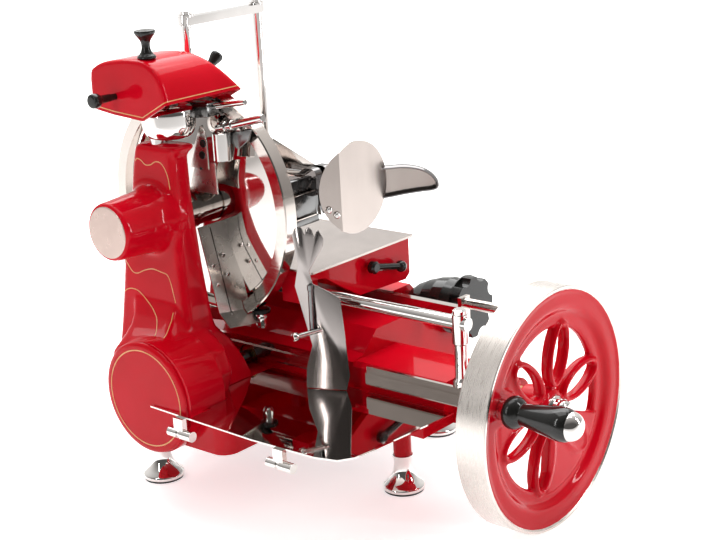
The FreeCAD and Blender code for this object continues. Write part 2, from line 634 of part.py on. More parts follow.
def make_handle():
    """Pin fixed in the wheel, turning grip and chromed end cap."""
    x, z = handle_place()
    start = WHEEL_FACE + 2
    end = WHEEL_FACE - HANDLE_LENGTH
    pin = rod_y(end + 14, start + 18, x, z, PIN_R)
    collar = rod_y(start - 8, start, x, z, 13.0)
    keep("handle_pin", pin.fuse(collar))
    root = start - 8 - GAP
    length = root - end
    grip = turned(((0, 0), (0, 15), (10, 19.5), (22, 20), (60, 16), (length - 20, 12.5),
                   (length - 17, 19), (length - 8, 20.5), (length, 17), (length, 0)),
                  V(x, end, z), V(0, 1, 0))
    keep("handle_grip", grip.cut(rod_y(end + 12, start, x, z, PIN_R + SLIDE)))
    cap = turned(((0, 0), (0, 7), (3, 11), (10, 14.5), (10, 0)), V(x, end - 10, z), V(0, 1, 0))
    keep("handle_cap", cap)


def make_feet():
    """Four bell feet, each turned from one bar, with a rubber disc under it."""
    bells, pads = [], []
    for x, y in (LEFT_FOOT, FRONT_FOOT, RIGHT_FOOT, REAR_FOOT):
        h = FOOT_HEIGHT
        bells.append(turned(((3, 0), (3, FOOT_R), (9, FOOT_R), (15, 24), (24, 17.5),
                             (34, 14.5), (h - 6, 13.5), (h - 6, LEG_R + 1.5), (h, LEG_R + 1.5),
                             (h, 0)), V(x, y, FLOOR), V(0, 0, 1)))
        pads.append(rod_z(FLOOR, FLOOR + 3, x, y, FOOT_R - 2))
    keep("feet", Part.makeCompound(bells))
    keep("foot_pads", Part.makeCompound(pads))


def make_guides():
    """Fixed flat rail, round guide rod with its end posts, and the roller track."""
    x0 = BODY_LEFT - RAIL_THICK
    step = RAIL_HEIGHT / 3
    profile = ((x0, RAIL_TOP - step), (x0 + 3, RAIL_TOP - step), (x0 + 3, RAIL_TOP),
               (x0 + RAIL_THICK, RAIL_TOP), (x0 + RAIL_THICK, RAIL_TOP - RAIL_HEIGHT),
               (x0 + 1, RAIL_TOP - RAIL_HEIGHT), (x0, RAIL_TOP - RAIL_HEIGHT + 2))
    notch = rod_x(0, 60, CROSS_Y, CROSS_Z, CROSS_R + BEARING_RACE + 1)
    rails = [prism_xz(profile, -448, -262), prism_xz(profile, -215, 60).cut(notch)]
    keep("guide_rails", Part.makeCompound(rails))
    keep("guide_rod", rod_y(ROD_FRONT, ROD_BACK, ROD_X, ROD_Z, ROD_R))
    foot = TUNNEL_TOP
    rise = ROD_Z - foot
    post = turned(((0, 0), (0, POST_R + 3), (8, POST_R + 3), (12, POST_R), (56, POST_R),
                   (56, POST_R - 1.5), (58, POST_R - 1.5), (58, POST_R + 2),
                   (rise + 12, POST_R + 2), (rise + 12, POST_R + 0.5), (rise + 17, POST_R + 0.5),
                   (rise + 19, POST_R - 2), (rise + 19, 0)), V(ROD_X, POST_Y, foot), V(0, 0, 1))
    arm = block(ROD_X - 10, ROD_X + 10, BODY_BACK, ROD_BACK, -245, ROD_Z + 14)
    hole = rod_y(ROD_FRONT - 30, ROD_BACK + 1, ROD_X, ROD_Z, ROD_R)
    post = post.cut(hole).cut(SHAPES["guide_rails"])
    keep("rod_posts", Part.makeCompound([post, arm.cut(hole)]))
    half = TRACK_WIDTH / 2
    top = BASE_TOP + TRACK_HEIGHT
    bar = block(TRACK_X - half, TRACK_X + half, -304, BODY_BACK - 7, BASE_TOP, top)
    plate = block(TRACK_X - half, TRACK_X + 14, -304, -298, BASE_TOP - 14, top + 14)
    stop = rod_y(-400, -298, TRACK_X + 4, top + 5, 7.5)
    keep("shoe_track", fuse([bar, plate, stop]))


def carriage_profile(drop):
    bottom = TABLE_TOP - TABLE_PLATE - GAP
    return ((32.0, bottom), (32.0, bottom - 10), (62.0, bottom - 14), (93.0, bottom - 34),
            (134.0, bottom - drop + 4), (CARRIAGE_RIGHT - 10, bottom - drop),
            (CARRIAGE_RIGHT, bottom - drop + 8), (CARRIAGE_RIGHT, bottom))


def make_carriage():
    """Red casting that slides along the rod, with two bearing lugs and two bronze shoes."""
    top = TABLE_TOP - TABLE_PLATE - GAP
    solid = prism_xz(carriage_profile(CARRIAGE_DROP), CARRIAGE_FRONT, CARRIAGE_BACK)
    room = block(100, CARRIAGE_RIGHT - 8, CARRIAGE_FRONT + 10, CARRIAGE_BACK - 10,
                 top - CARRIAGE_DROP - 1, top - 12)
    lugs = [block(ROD_X - 14, ROD_X + 26, y, y + 30, ROD_Z - 14, top - 6) for y in (-150.0, 10.0)]
    shoes, legs = [], []
    for y in (-120.0, 20.0):
        legs.append(block(TRACK_X - 8, TRACK_X + 8, y - 8, y + 8,
                          BASE_TOP + TRACK_HEIGHT + 6, top - 10))
        shoes.append(block(TRACK_X - 9, TRACK_X + 9, y - 14, y + 14,
                           BASE_TOP + TRACK_HEIGHT + SLIDE, BASE_TOP + TRACK_HEIGHT + 6))
    stud = rod_y(LEVER_Y + 7, CARRIAGE_FRONT + 1, LEVER_X, LEVER_Z, 5.0)
    casting = solid.cut(room).fuse(lugs + legs + [stud])
    keep("carriage_casting", casting.cut(rod_y(-200, 200, ROD_X, ROD_Z, ROD_R + SLIDE)))
    keep("carriage_shoes", Part.makeCompound(shoes))


def make_table():
    """Polished table plate with its front lip, and the lock lever under it."""
    plate = rounded_block(TABLE_LEFT, TABLE_RIGHT, TABLE_FRONT, TABLE_BACK,
                          TABLE_TOP - TABLE_PLATE, TABLE_TOP, 3.0)
    keep("meat_table", plate)
    x0, x1, y, z = LEVER_X, 214.0, LEVER_Y, LEVER_Z
    hub = turned(((0, 0), (0, 6), (3, 9), (10, 9), (13, 6), (13, 0)), V(x0, y - 6, z), V(0, 1, 0))
    arm = Part.makeCone(6.0, 4.5, x1 - x0, V(x0, y, z), V(1, 0, -0.22))
    ball = Part.makeSphere(8.5, V(x1 - 2, y, z - 0.22 * (x1 - x0)))
    keep("lock_lever", fuse([hub, arm, ball]))


def make_press():
    """Two posts with a crossbar, and the press that slides on them with its guard and handle."""
    posts = []
    for x, y in (LEFT_POST, RIGHT_POST):
        rise = POST_TOP - TABLE_TOP
        r = PRESS_POST_R
        posts.append(turned(((0, 0), (0, r), (rise, r), (rise, r + 3.5), (rise + 3, r + 3.5),
                             (rise + 3, r + 0.5), (rise + 8, r + 0.5), (rise + 10, r - 2),
                             (rise + 10, 0)), V(x, y, TABLE_TOP), V(0, 0, 1)))
    keep("press_posts", Part.makeCompound(posts))
    bar = rounded_block(LEFT_POST[0] - 12, RIGHT_POST[0] + 12, LEFT_POST[1] - 9,
                        LEFT_POST[1] + 9, POST_TOP - 12, POST_TOP, 8.0)
    holes = [rod_z(POST_TOP - 20, POST_TOP + 5, x, y, PRESS_POST_R) for x, y in (LEFT_POST, RIGHT_POST)]
    keep("crossbar", bar.cut(Part.makeCompound(holes)))

    z0 = 24.0
    bridge = rounded_block(LEFT_POST[0] - 14, RIGHT_POST[0] + 14, LEFT_POST[1] - 13,
                           LEFT_POST[1] + 13, z0, z0 + 22, 9.0)
    holes = [rod_z(z0 - 10, z0 + 40, x, y, PRESS_POST_R + SLIDE) for x, y in (LEFT_POST, RIGHT_POST)]
    keep("press_bridge", bridge.cut(Part.makeCompound(holes)))
    pin_y, pin_z = -141.0, z0 + 10
    arm = block(84, 108, -126, LEFT_POST[1] - 13, z0 + 3, z0 + 19)
    knuckle = rounded_block(78, 114, -152, -124, z0 - 12, z0 + 26, 9.0, "X")
    slot = block(91, 101, -160, -129, z0 - 20, z0 + 40)
    bore = rod_x(70, 120, pin_y, pin_z, 4.0)
    pin = rod_x(75, 117, pin_y, pin_z, 4.0)
    keep("press_arm", arm.fuse(knuckle).cut(slot).cut(bore).fuse(pin))
    comb = [block(52, 132, -122, -116, z0 - 34, z0 - 4)]
    for i in range(9):
        x = 55 + 9 * i
        comb.append(prism_xz(((x - 3, z0 - 33), (x + 3, z0 - 33), (x, z0 - 50)), -122, -116))
    stem = block(86, 106, -122, -108, z0 - 10, z0 + 3)
    keep("press_comb", fuse(comb + [stem]))

    cx, cy, cz, r = 104.0, -202.0, 26.0, 63.0
    disc = rod_y(cy, cy + 2.5, cx, cz, r)
    fold_x = cx - 34
    right = disc.common(block(fold_x, 300, -300, 0, -200, 200))
    left = disc.common(block(-200, fold_x, -300, 0, -200, 200))
    left.rotate(V(fold_x, cy, 0), V(0, 0, 1), -42)
    keep("guard_disc", right.fuse(left))
    tongue = block(92, 100, cy + 2.5, pin_y, pin_z - 8, pin_z + 8)
    tongue = tongue.fuse(rod_x(92, 100, pin_y, pin_z, 8.0))
    bridge = block(96, 130, -184, -170, 6, 40)
    grip = guard_grip(V(122, -155, 0))
    handle = fuse([tongue, bridge, grip]).cut(rod_x(80, 110, pin_y, pin_z, 4.0 + RUN))
    keep("guard_handle", handle.cut(SHAPES["guard_disc"]))


def guard_grip(start):
    """Tapered grip, hollow underneath, that points away to the right of the disc."""
    outer = ((0, 4), (0, 42), (60, 44), (110, 44), (132, 38), (142, 28), (138, 20), (110, 12))
    inner = ((20, -10), (20, 36), (60, 39), (108, 39), (128, 33), (134, 24), (134, -10))
    body = prism_xz(outer, -8, 8).cut(prism_xz(inner, -5, 5))
    body.rotate(V(0, 0, 0), V(0, 0, 1), -45)
    body.translate(start)
    return body


def make_thickness():
    """Dial with scalloped grip on its spindle, in front of the base's body."""
    length = DIAL_LENGTH
    bell = turned(((0, 0), (0, DIAL_R - 7), (20, DIAL_R - 6), (40, DIAL_R - 9), (60, DIAL_R - 15),
                   (78, DIAL_R - 23), (90, DIAL_R - 31), (length, SPINDLE_R + 2), (length, 0)),
                  V(DIAL_X, DIAL_Y, DIAL_Z), V(0, 1, 0))
    scallops = []
    grip = rod_y(DIAL_Y - 18, DIAL_Y, DIAL_X, DIAL_Z, DIAL_R)
    for i in range(8):
        angle = 2 * math.pi * (i + 0.5) / 8
        x = DIAL_X + (DIAL_R + 6) * math.cos(angle)
        z = DIAL_Z + (DIAL_R + 6) * math.sin(angle)
        scallops.append(rod_y(DIAL_Y - 20, DIAL_Y - 2, x, z, 13.0))
    grip = grip.cut(Part.makeCompound(scallops))
    bore = rod_y(DIAL_Y - 14, DIAL_Y + length + 1, DIAL_X, DIAL_Z, SPINDLE_R + RUN)
    keep("thickness_knob", bell.fuse(grip).cut(bore))
    keep("thickness_spindle", rod_y(DIAL_Y - 14 + GAP, -120, DIAL_X, DIAL_Z, SPINDLE_R))


def make_tray():
    """Polished tray with a point that passes in front of the drum, and its two clips."""
    top = TRAY_TOP
    left, front, right = -173.0, -396.0, BODY_LEFT - RAIL_THICK - GAP
    outline = ((-163.0 - 3.0, -53.0), (-163.0 - 3.0, -130.0), (-128.0, -130.0), (-128.0, -92.0),
               (right, -92.0), (right, front - 10), (left + 60, front + 2),
               (left + 26, front + 6), (left + 8, front + 18), (left, front + 48),
               (left - 2, -246.0))
    plate = prism_xy(outline, top - TRAY_PLATE, top)
    keep("tray", plate.cut(rod_x(DRUM_FACE - COVER_THICK - 1.5, -90, CROSS_Y, CROSS_Z, DRUM_R + 1)))
    clips = []
    for x, y in ((left + 1.5, -114.0), (left - 1, -292.0)):
        clips.append(block(x - 4, x + 4, y - 8, y + 8, top - 20, top - TRAY_PLATE))
        clips.append(rod_y(y - 22, y - 2, x, top - 24, 7.0))
        clips.append(rod_y(y + 4, y + 20, x, top - 24, 6.5))
        clips.append(rod_y(y - 4, y + 6, x, top - 24, 5.0))
    keep("tray_clips", fuse(clips[:4]).fuse(fuse(clips[4:])))


def make_deflector():
    """Upright polished plate in front of the blade, toothed at the top, with its clamp."""
    x0, x1 = 4.0, 6.0
    foot = TRAY_TOP + GAP
    from_ring = ((4, -22), (11, -62), (3, -92), (15, -130), (28, -171), (15, -205), (13, foot),
                 (85, foot), (92, -202), (82, -97), (35, -84), (30, -68), (56, -30), (59, -20),
                 (51, -8), (43, -20), (37, -6), (27, -18), (19, -6), (11, -14))
    outline = [(-RING_R - out, z) for out, z in from_ring]
    keep("deflector", prism_yz(outline, x0, x1))
    x, y = -2.0, -RING_R - 32.0
    upright = rod_z(-152, -60, x, y, 3.0)
    bar = rod_x(x - 20, x0, y, -146, 3.6)
    knob = turned(((0, 0), (0, 4), (3, 6), (8, 6), (11, 3.6), (11, 0)),
                  V(x - 28, y, -146), V(1, 0, 0))
    keep("deflector_clamp", fuse([upright, bar, knob]))


def plate_y(z):
    """The plate leans with the column's front face."""
    return PLATE_TOP_Y + PLATE_LEAN * (z - PLATE_TOP_Z)


def make_blade_plate():
    """Polished plate between the column and the blade, with a folded lip at its foot."""
    left, right, low = -46.0, BLADE_BACK - GAP - 3, -140.0
    corners = ((left, PLATE_TOP_Z), (right, PLATE_TOP_Z), (right, low), (left, low + 8))
    plate = prism([V(x, plate_y(z), z) for x, z in corners], V(0, -PLATE_THICK, 0))
    fold = [V(right, plate_y(low), low), V(left, plate_y(low + 8), low + 8)]
    out = V(0, -18, -18)
    lip = prism([fold[0], fold[1], fold[1] + out, fold[0] + out], V(0, -PLATE_THICK, 0))
    keep("blade_plate", plate.fuse(lip).cut(rod_x(-1, RING_DEPTH + 1, 0, 0, RING_R + 1).cut(
        rod_x(-2, RING_DEPTH + 2, 0, 0, RING_LIP_R - 1))))


def hood_profile(shrink):
    """Side outline of the hood, moved inwards by shrink."""
    t = shrink
    return ((HOOD_BACK - t, HOOD_BOTTOM + 6), (HOOD_BACK - 6 - t, HOOD_TOP - 16 - t),
            (HOOD_BACK - 30 - t, HOOD_TOP - 4 - t), (0.0, HOOD_TOP + 3 - t),
            (-32.0, HOOD_TOP - 2 - t), (HOOD_FRONT + 6 + t, HOOD_TOP - 22 - t),
            (HOOD_FRONT + t, HOOD_BOTTOM + 20), (-16.0 + t, HOOD_BOTTOM - 4 - 2 * t),
            (40.0 - t, HOOD_BOTTOM - 2 * t))


def make_sharpener():
    """Hood over the blade's top with its frame, lock knob, two plungers and two stones."""
    left, right, wall = HOOD_LEFT, HOOD_RIGHT, HOOD_WALL
    hood = prism_yz(hood_profile(0), left, right)
    room = prism_yz(hood_profile(wall), left + wall, right - wall)
    slope = ((-18.0, HOOD_TOP + 8), (right + 1, HOOD_BOTTOM + 16))
    chop = prism_xz(slope + ((right + 60, HOOD_TOP + 60), (-18.0, HOOD_TOP + 60)), -200, 200)
    inner_chop = prism_xz(tuple((x - wall * 1.3, z - wall) for x, z in slope)
                          + ((right + 60, HOOD_TOP + 60), (-18.0, HOOD_TOP + 60)), -200, 200)
    hood = hood.cut(chop).cut(room.cut(inner_chop))
    gx, gy, gz = left, 34.0, HOOD_BOTTOM + 25.0
    hole = rod_x(gx - 5, gx + 20, gy, gz, 4.0 + SLIDE)
    neck_x, neck_y = -64.0, -4.0
    stud_hole = rod_z(HOOD_TOP - 30, HOOD_TOP + 30, KNOB_X, KNOB_Y, 4.0 + SLIDE)

    axis = V(0.8, 0, 0.6)
    seat = V(18.0, -2.0, HOOD_BOTTOM + 28.0) - axis * HONER_INSET
    lever_hole = Part.makeCylinder(5.0 + SLIDE, 60, seat, axis)
    keep("sharpener_hood", hood.cut(Part.makeCompound([hole, stud_hole, lever_hole])))
    below = [prism_yz(hood_profile(0), left, right).translated(V(0, 0, -d)) for d in (0.0, 1.0)]
    SHAPES["guard_ring"] = SHAPES["guard_ring"].cut(Part.makeCompound(below))

    under = FRAME_TOP - FRAME_THICK
    plate = block(left + 14, -28, -26, 54, under, FRAME_TOP)
    boss = rod_z(HOOD_BOTTOM - 9, under + 2, neck_x, neck_y, 18.0)
    hanger = block(-64, -34, gy - 10, gy + 10, gz - 10, under + 2)
    frame = fuse([plate, boss, hanger])
    frame = frame.cut(Part.makeCompound([
        rod_z(under - 60, FRAME_TOP + 6, neck_x, neck_y, 11.0 + SLIDE), hole.translated(V(40, 0, 0)),
        rod_x(-70, -20, gy, gz, 4.0 + SLIDE)]))
    posts = [rod_z(FRAME_TOP, HOOD_TOP - 2, x, y, 5.0) for x, y in ((-76.0, 20.0), (-38.0, -14.0))]
    frame = frame.fuse(posts).cut(rod_z(under - 8, FRAME_TOP + 6, KNOB_X, KNOB_Y, 4.0 + RUN))
    keep("sharpener_frame", frame.cut(SHAPES["sharpener_hood"]))
    keep("sharpener_neck", rod_z(COLUMN_LEVELS[-1][0], under - 2, neck_x, neck_y, 11.0))

    knob = turned(((-36, 0), (-36, 4), (0, 4), (0, 11), (4, 10), (9, 6.5), (20, 6), (30, 11),
                   (35, 14), (38, 13.5), (40, 10), (40, 0)),
                  V(KNOB_X, KNOB_Y, HOOD_TOP + 3.5), V(0, 0, 1))
    keep("lock_knob", knob)

    stem = rod_x(left - 32, -8, gy, gz, 4.0)
    ball = turned(((0, 0), (0, 8), (3, 10), (12, 10), (15, 7), (18, 5), (18, 0)),
                  V(left - 42, gy, gz), V(1, 0, 0))
    keep("grinding_knob", stem.fuse(ball))
    stone = turned(((0, 4.0 + RUN), (0, 22), (8, 24), (10, 24), (10, 4.0 + RUN)),
                   V(-20, gy, gz), V(1, 0, 0))
    keep("grinding_stone", stone)

    rod = Part.makeCylinder(5.0, 26 + HONER_INSET, seat + axis * 4, axis)
    grip = Part.makeCone(5.0, 8.0, 26, seat + axis * (26 + HONER_INSET), axis)
    pin = Part.makeCylinder(3.0, 10, seat - axis * 6, axis)
    keep("honing_knob", fuse([rod, grip, pin]))
    wheel = Part.makeCylinder(11.0, 6, seat - axis * 4, axis)
    bore = Part.makeCylinder(3.0 + RUN, 40, seat - axis * 20, axis)
    keep("honing_stone", wheel.cut(bore))


for step in (make_base, make_column, make_covers, make_blade_drive, make_cross_shaft,
             make_chain, make_flywheel_shaft, make_flywheel, make_handle, make_feet,
             make_guides, make_carriage, make_table, make_press, make_thickness, make_tray,
             make_deflector, make_blade_plate, make_sharpener):
    step()

os.makedirs("parts", exist_ok=True)
for name, shape in SHAPES.items():
    placed = shape.copy()
    placed.translate(V(RING_FACE_X, BLADE_AXIS_Y, BLADE_AXIS_Z))
    placed.exportStep("parts/" + name + ".step")
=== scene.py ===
import json
import math

import bmesh
import bpy
import numpy as np
from mathutils import Matrix, Vector
from mathutils.bvhtree import BVHTree


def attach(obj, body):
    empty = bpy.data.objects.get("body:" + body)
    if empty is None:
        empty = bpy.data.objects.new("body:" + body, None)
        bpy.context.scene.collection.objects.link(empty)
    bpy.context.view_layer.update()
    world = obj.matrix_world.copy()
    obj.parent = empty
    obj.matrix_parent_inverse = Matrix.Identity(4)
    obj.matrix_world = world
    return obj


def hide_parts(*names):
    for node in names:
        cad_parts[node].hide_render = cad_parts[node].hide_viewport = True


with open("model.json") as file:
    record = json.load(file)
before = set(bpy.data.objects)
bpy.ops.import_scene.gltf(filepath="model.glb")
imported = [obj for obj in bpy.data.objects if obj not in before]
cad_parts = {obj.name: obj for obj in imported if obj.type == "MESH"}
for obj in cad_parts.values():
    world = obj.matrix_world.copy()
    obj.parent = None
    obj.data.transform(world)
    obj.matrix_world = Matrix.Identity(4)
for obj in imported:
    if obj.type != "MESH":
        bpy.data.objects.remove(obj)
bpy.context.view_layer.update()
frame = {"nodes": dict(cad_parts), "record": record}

# Places are given in millimetres from the middle of the blade, as they are in the part's source.
BLADE_AXIS = Vector((-68.0, 207.5, 383.0))
WHEEL_X, WHEEL_Z, WHEEL_FACE = 92.0, -222.0, -523.0
DRUM_Y, DRUM_Z, DRUM_R = -41.0, -223.0, 77.0
BOSS_END_X, DRUM_END_X, DRUM_DISC_X = -165.0, -158.0, -163.0
HANDLE_ANGLE, HANDLE_REACH, GRIP_REACH = 161.0, 125.0, 98.0


def place(x, y, z):
    return (Vector((x, y, z)) + BLADE_AXIS) / 1000


# Finishes

def shader(name, colour, metallic, roughness):
    finish = bpy.data.materials.new(name)
    finish.use_nodes = True
    nodes = finish.node_tree.nodes
    surface = nodes["Principled BSDF"]
    surface.inputs["Base Color"].default_value = (*colour, 1)
    surface.inputs["Metallic"].default_value = metallic
    surface.inputs["Roughness"].default_value = roughness
    return finish, surface


def surface_marks():
    """Shader node group that all finishes share: noise over the object, which can be stretched."""
    group = bpy.data.node_groups.new("surface_marks", "ShaderNodeTree")
    for name, kind, value in (("Scale", "NodeSocketFloat", 30.0), ("Detail", "NodeSocketFloat", 3.0),
                              ("Stretch", "NodeSocketVector", (1, 1, 1))):
        group.interface.new_socket(name, in_out="INPUT", socket_type=kind).default_value = value
    group.interface.new_socket("Marks", in_out="OUTPUT", socket_type="NodeSocketFloat")
    nodes, links = group.nodes, group.links
    given = nodes.new("NodeGroupInput")
    where = nodes.new("ShaderNodeTexCoord")
    mapping = nodes.new("ShaderNodeMapping")
    noise = nodes.new("ShaderNodeTexNoise")
    links.new(where.outputs["Object"], mapping.inputs["Vector"])
    links.new(given.outputs["Stretch"], mapping.inputs["Scale"])
    links.new(mapping.outputs["Vector"], noise.inputs["Vector"])
    links.new(given.outputs["Scale"], noise.inputs["Scale"])
    links.new(given.outputs["Detail"], noise.inputs["Detail"])
    links.new(noise.outputs["Fac"], nodes.new("NodeGroupOutput").inputs["Marks"])
    return group


MARKS = surface_marks()


def noise_of(finish, scale, detail=3.0, stretch=(1, 1, 1)):
    marks = finish.node_tree.nodes.new("ShaderNodeGroup")
    marks.node_tree = MARKS
    marks.inputs["Scale"].default_value = scale
    marks.inputs["Detail"].default_value = detail
    marks.inputs["Stretch"].default_value = stretch
    return marks.outputs["Marks"]


def remap(finish, value, low, high, from_low=0.3, from_high=0.7):
    nodes, links = finish.node_tree.nodes, finish.node_tree.links
    node = nodes.new("ShaderNodeMapRange")
    node.inputs["From Min"].default_value = from_low
    node.inputs["From Max"].default_value = from_high
    node.inputs["To Min"].default_value = low
    node.inputs["To Max"].default_value = high
    links.new(value, node.inputs["Value"])
    return node.outputs["Result"]


def tint(finish, surface, value, dark, light):
    nodes, links = finish.node_tree.nodes, finish.node_tree.links
    mix = nodes.new("ShaderNodeMix")
    mix.data_type = "RGBA"
    mix.inputs["A"].default_value = (*dark, 1)
    mix.inputs["B"].default_value = (*light, 1)
    links.new(value, mix.inputs["Factor"])
    links.new(mix.outputs["Result"], surface.inputs["Base Color"])


def relief(finish, surface, value, strength, distance):
    nodes, links = finish.node_tree.nodes, finish.node_tree.links
    bump = nodes.new("ShaderNodeBump")
    bump.inputs["Strength"].default_value = strength
    bump.inputs["Distance"].default_value = distance
    links.new(value, bump.inputs["Height"])
    links.new(bump.outputs["Normal"], surface.inputs["Normal"])


def red_enamel():
    """Thick gloss paint with a faint orange peel and slightly deeper patches."""
    finish, surface = shader("red_enamel", (0.56, 0.001, 0.010), 0.0, 0.22)
    tint(finish, surface, remap(finish, noise_of(finish, 9.0), 0, 1),
         (0.52, 0.001, 0.008), (0.62, 0.002, 0.014))
    relief(finish, surface, noise_of(finish, 160.0, 1.0), 0.035, 0.0006)
    surface.inputs["Coat Weight"].default_value = 0.6
    surface.inputs["Coat IOR"].default_value = 1.3
    surface.inputs["Coat Roughness"].default_value = 0.03
    surface.inputs["Specular IOR Level"].default_value = 0.02
    return finish


def metal(name, colour, low, high, scale, stretch=(1, 1, 1), bump=0.0):
    """Metal whose gloss and tone change along fine marks."""
    finish, surface = shader(name, colour, 1.0, low)
    marks = noise_of(finish, scale, 4.0, stretch)
    finish.node_tree.links.new(remap(finish, marks, low, high), surface.inputs["Roughness"])
    tint(finish, surface, remap(finish, noise_of(finish, 14.0), 0, 1),
         tuple(c * 0.9 for c in colour), colour)
    if bump:
        relief(finish, surface, marks, bump, 0.0004)
    return finish


def black_gloss():
    finish, surface = shader("black_gloss", (0.012, 0.012, 0.011), 0.0, 0.12)
    finish.node_tree.links.new(remap(finish, noise_of(finish, 70.0), 0.08, 0.2),
                               surface.inputs["Roughness"])
    relief(finish, surface, noise_of(finish, 220.0, 1.0), 0.02, 0.0004)
    surface.inputs["Coat Weight"].default_value = 0.25
    surface.inputs["Coat Roughness"].default_value = 0.05
    surface.inputs["Specular IOR Level"].default_value = 0.25
    return finish


def grit():
    finish, surface = shader("abrasive_grit", (0.40, 0.38, 0.35), 0.0, 0.9)
    grains = noise_of(finish, 900.0, 2.0)
    tint(finish, surface, remap(finish, grains, 0, 1), (0.28, 0.26, 0.24), (0.52, 0.50, 0.47))
    relief(finish, surface, grains, 0.5, 0.0004)
    return finish


def soft_rubber():
    finish, surface = shader("foot_rubber", (0.02, 0.02, 0.02), 0.0, 0.7)
    relief(finish, surface, noise_of(finish, 400.0), 0.2, 0.0003)
    return finish


def gold_line():
    finish, surface = shader("gold_line", (0.78, 0.40, 0.16), 0.0, 0.35)
    tint(finish, surface, remap(finish, noise_of(finish, 60.0), 0, 1),
         (0.70, 0.32, 0.10), (0.85, 0.48, 0.22))
    return finish


RED = red_enamel()
# The warm pink tint in the steel and chrome colours below is a painted reflection of the red paint and the
# warm room round them.
DARK_CHROME = metal("dark_chrome", (0.22, 0.21, 0.21), 0.04, 0.1, 20.0)
STEEL = metal("polished_steel", (0.66, 0.60, 0.56), 0.06, 0.16, 30.0, (1, 1, 6))
MIRROR = metal("mirror_steel", (0.72, 0.67, 0.64), 0.02, 0.06, 18.0)
CHROME = metal("bright_chrome", (0.78, 0.75, 0.73), 0.02, 0.07, 25.0)
RIM_STEEL = metal("machined_rim", (0.70, 0.65, 0.61), 0.22, 0.36, 60.0, (1, 24, 1), 0.05)
SATIN = metal("satin_steel", (0.50, 0.39, 0.35), 0.25, 0.4, 90.0, (20, 1, 1), 0.05)
SATIN_DARK = metal("dull_plate", (0.74, 0.70, 0.66), 0.2, 0.3, 30.0)
PLATE_STEEL = metal("deflector_steel", (0.34, 0.31, 0.30), 0.12, 0.22, 50.0, (1, 1, 0.08))
BRUSHED = metal("brushed_plate", (0.50, 0.44, 0.41), 0.16, 0.26, 50.0, (1, 1, 0.08))
OILED = metal("oiled_steel", (0.20, 0.20, 0.20), 0.15, 0.3, 30.0)
BRONZE = metal("bearing_bronze", (0.62, 0.40, 0.18), 0.2, 0.35, 40.0)
BLACK = black_gloss()
RUBBER = soft_rubber()
GRIT = grit()
GOLD = gold_line()

FINISH_OF_SLOT = {
    "red_paint": RED, "bright_steel": STEEL, "blade_steel": MIRROR, "chrome": CHROME,
    "turned_steel": SATIN, "gear_steel": OILED, "bronze": BRONZE, "black_plastic": BLACK,
    "rubber": RUBBER, "stone": GRIT,
}
FINISH_OF_NODE = {"tray": MIRROR, "meat_table": BRUSHED, "blade_plate": SATIN_DARK, "guard_disc": BRUSHED,
                  "press_comb": OILED, "press_arm": DARK_CHROME}

for part in frame["record"]["subparts"]:
    node = frame["nodes"][part["node"]]
    finish = FINISH_OF_NODE.get(part["node"], FINISH_OF_SLOT[part["material_slot"]])
    for slot in node.material_slots:
        slot.material = finish


# Making pieces

def linked(name, data):
    """New object that holds the data, put into the scene."""
    made = bpy.data.objects.new(name, data)
    bpy.context.scene.collection.objects.link(made)
    return made


def as_mesh(bm):
    mesh = bpy.data.meshes.new("shape")
    bmesh.ops.recalc_face_normals(bm, faces=bm.faces)
    bm.to_mesh(mesh)
    bm.free()
    return mesh


def finished(shape, name, finish, body, angle=35, replaced=()):
    """Put a mesh into the scene as one smooth-shaded piece that rides with its body."""
    mesh = as_mesh(shape) if isinstance(shape, bmesh.types.BMesh) else shape
    mesh.name = name
    mesh.materials.clear()
    mesh.materials.append(finish)
    mesh.polygons.foreach_set("use_smooth", [True] * len(mesh.polygons))
    mesh.set_sharp_from_angle(angle=math.radians(angle))
    piece = linked(name, mesh)
    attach(piece, body)
    if replaced:
        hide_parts(*replaced)
    return piece


def rounded(profile, times=2):
    """Cut the corners of an open profile; a point given twice stays sharper."""
    for _ in range(times):
        out = [profile[0]]
        for (h0, r0), (h1, r1) in zip(profile, profile[1:]):
            out.append((h0 * 0.75 + h1 * 0.25, r0 * 0.75 + r1 * 0.25))
            out.append((h0 * 0.25 + h1 * 0.75, r0 * 0.25 + r1 * 0.75))
        out.append(profile[-1])
        profile = out
    return profile


def lathe(bm, profile, base, axis, steps=72):
    """Add a turned shape: the profile holds (distance along the axis, radius) in millimetres."""
    axis = Vector(axis).normalized()
    turn = Vector((0, 0, 1)).rotation_difference(axis).to_matrix()
    rings = []
    for h, r in profile:
        if r < 0.01:
            rings.append([bm.verts.new(place(*(Vector(base) + turn @ Vector((0, 0, h)))))])
            continue
        ring = []
        for i in range(steps):
            a = 2 * math.pi * i / steps
            point = Vector(base) + turn @ Vector((r * math.cos(a), r * math.sin(a), h))
            ring.append(bm.verts.new(place(*point)))
        rings.append(ring)
    for low, high in zip(rings, rings[1:]):
        for i in range(steps):
            j = (i + 1) % steps
            corners = [low[i % len(low)], low[j % len(low)], high[j % len(high)], high[i % len(high)]]
            corners = list(dict.fromkeys(corners))
            if len(corners) > 2:
                bm.faces.new(corners)
    return rings


def loft(bm, sections):
    """Join closed sections of equal count, given in millimetres, and cap both ends."""
    rings = [[bm.verts.new(place(*point)) for point in section] for section in sections]
    for low, high in zip(rings, rings[1:]):
        for i in range(len(low)):
            j = (i + 1) % len(low)
            bm.faces.new((low[i], low[j], high[j], high[i]))
    bm.faces.new(list(reversed(rings[0])))
    bm.faces.new(rings[-1])


def slab(bm, outline, travel):
    """Add a flat shape through 3-D points, pushed along a vector."""
    push = Vector(travel)
    loft(bm, [[Vector(p) for p in outline], [Vector(p) + push for p in outline]])


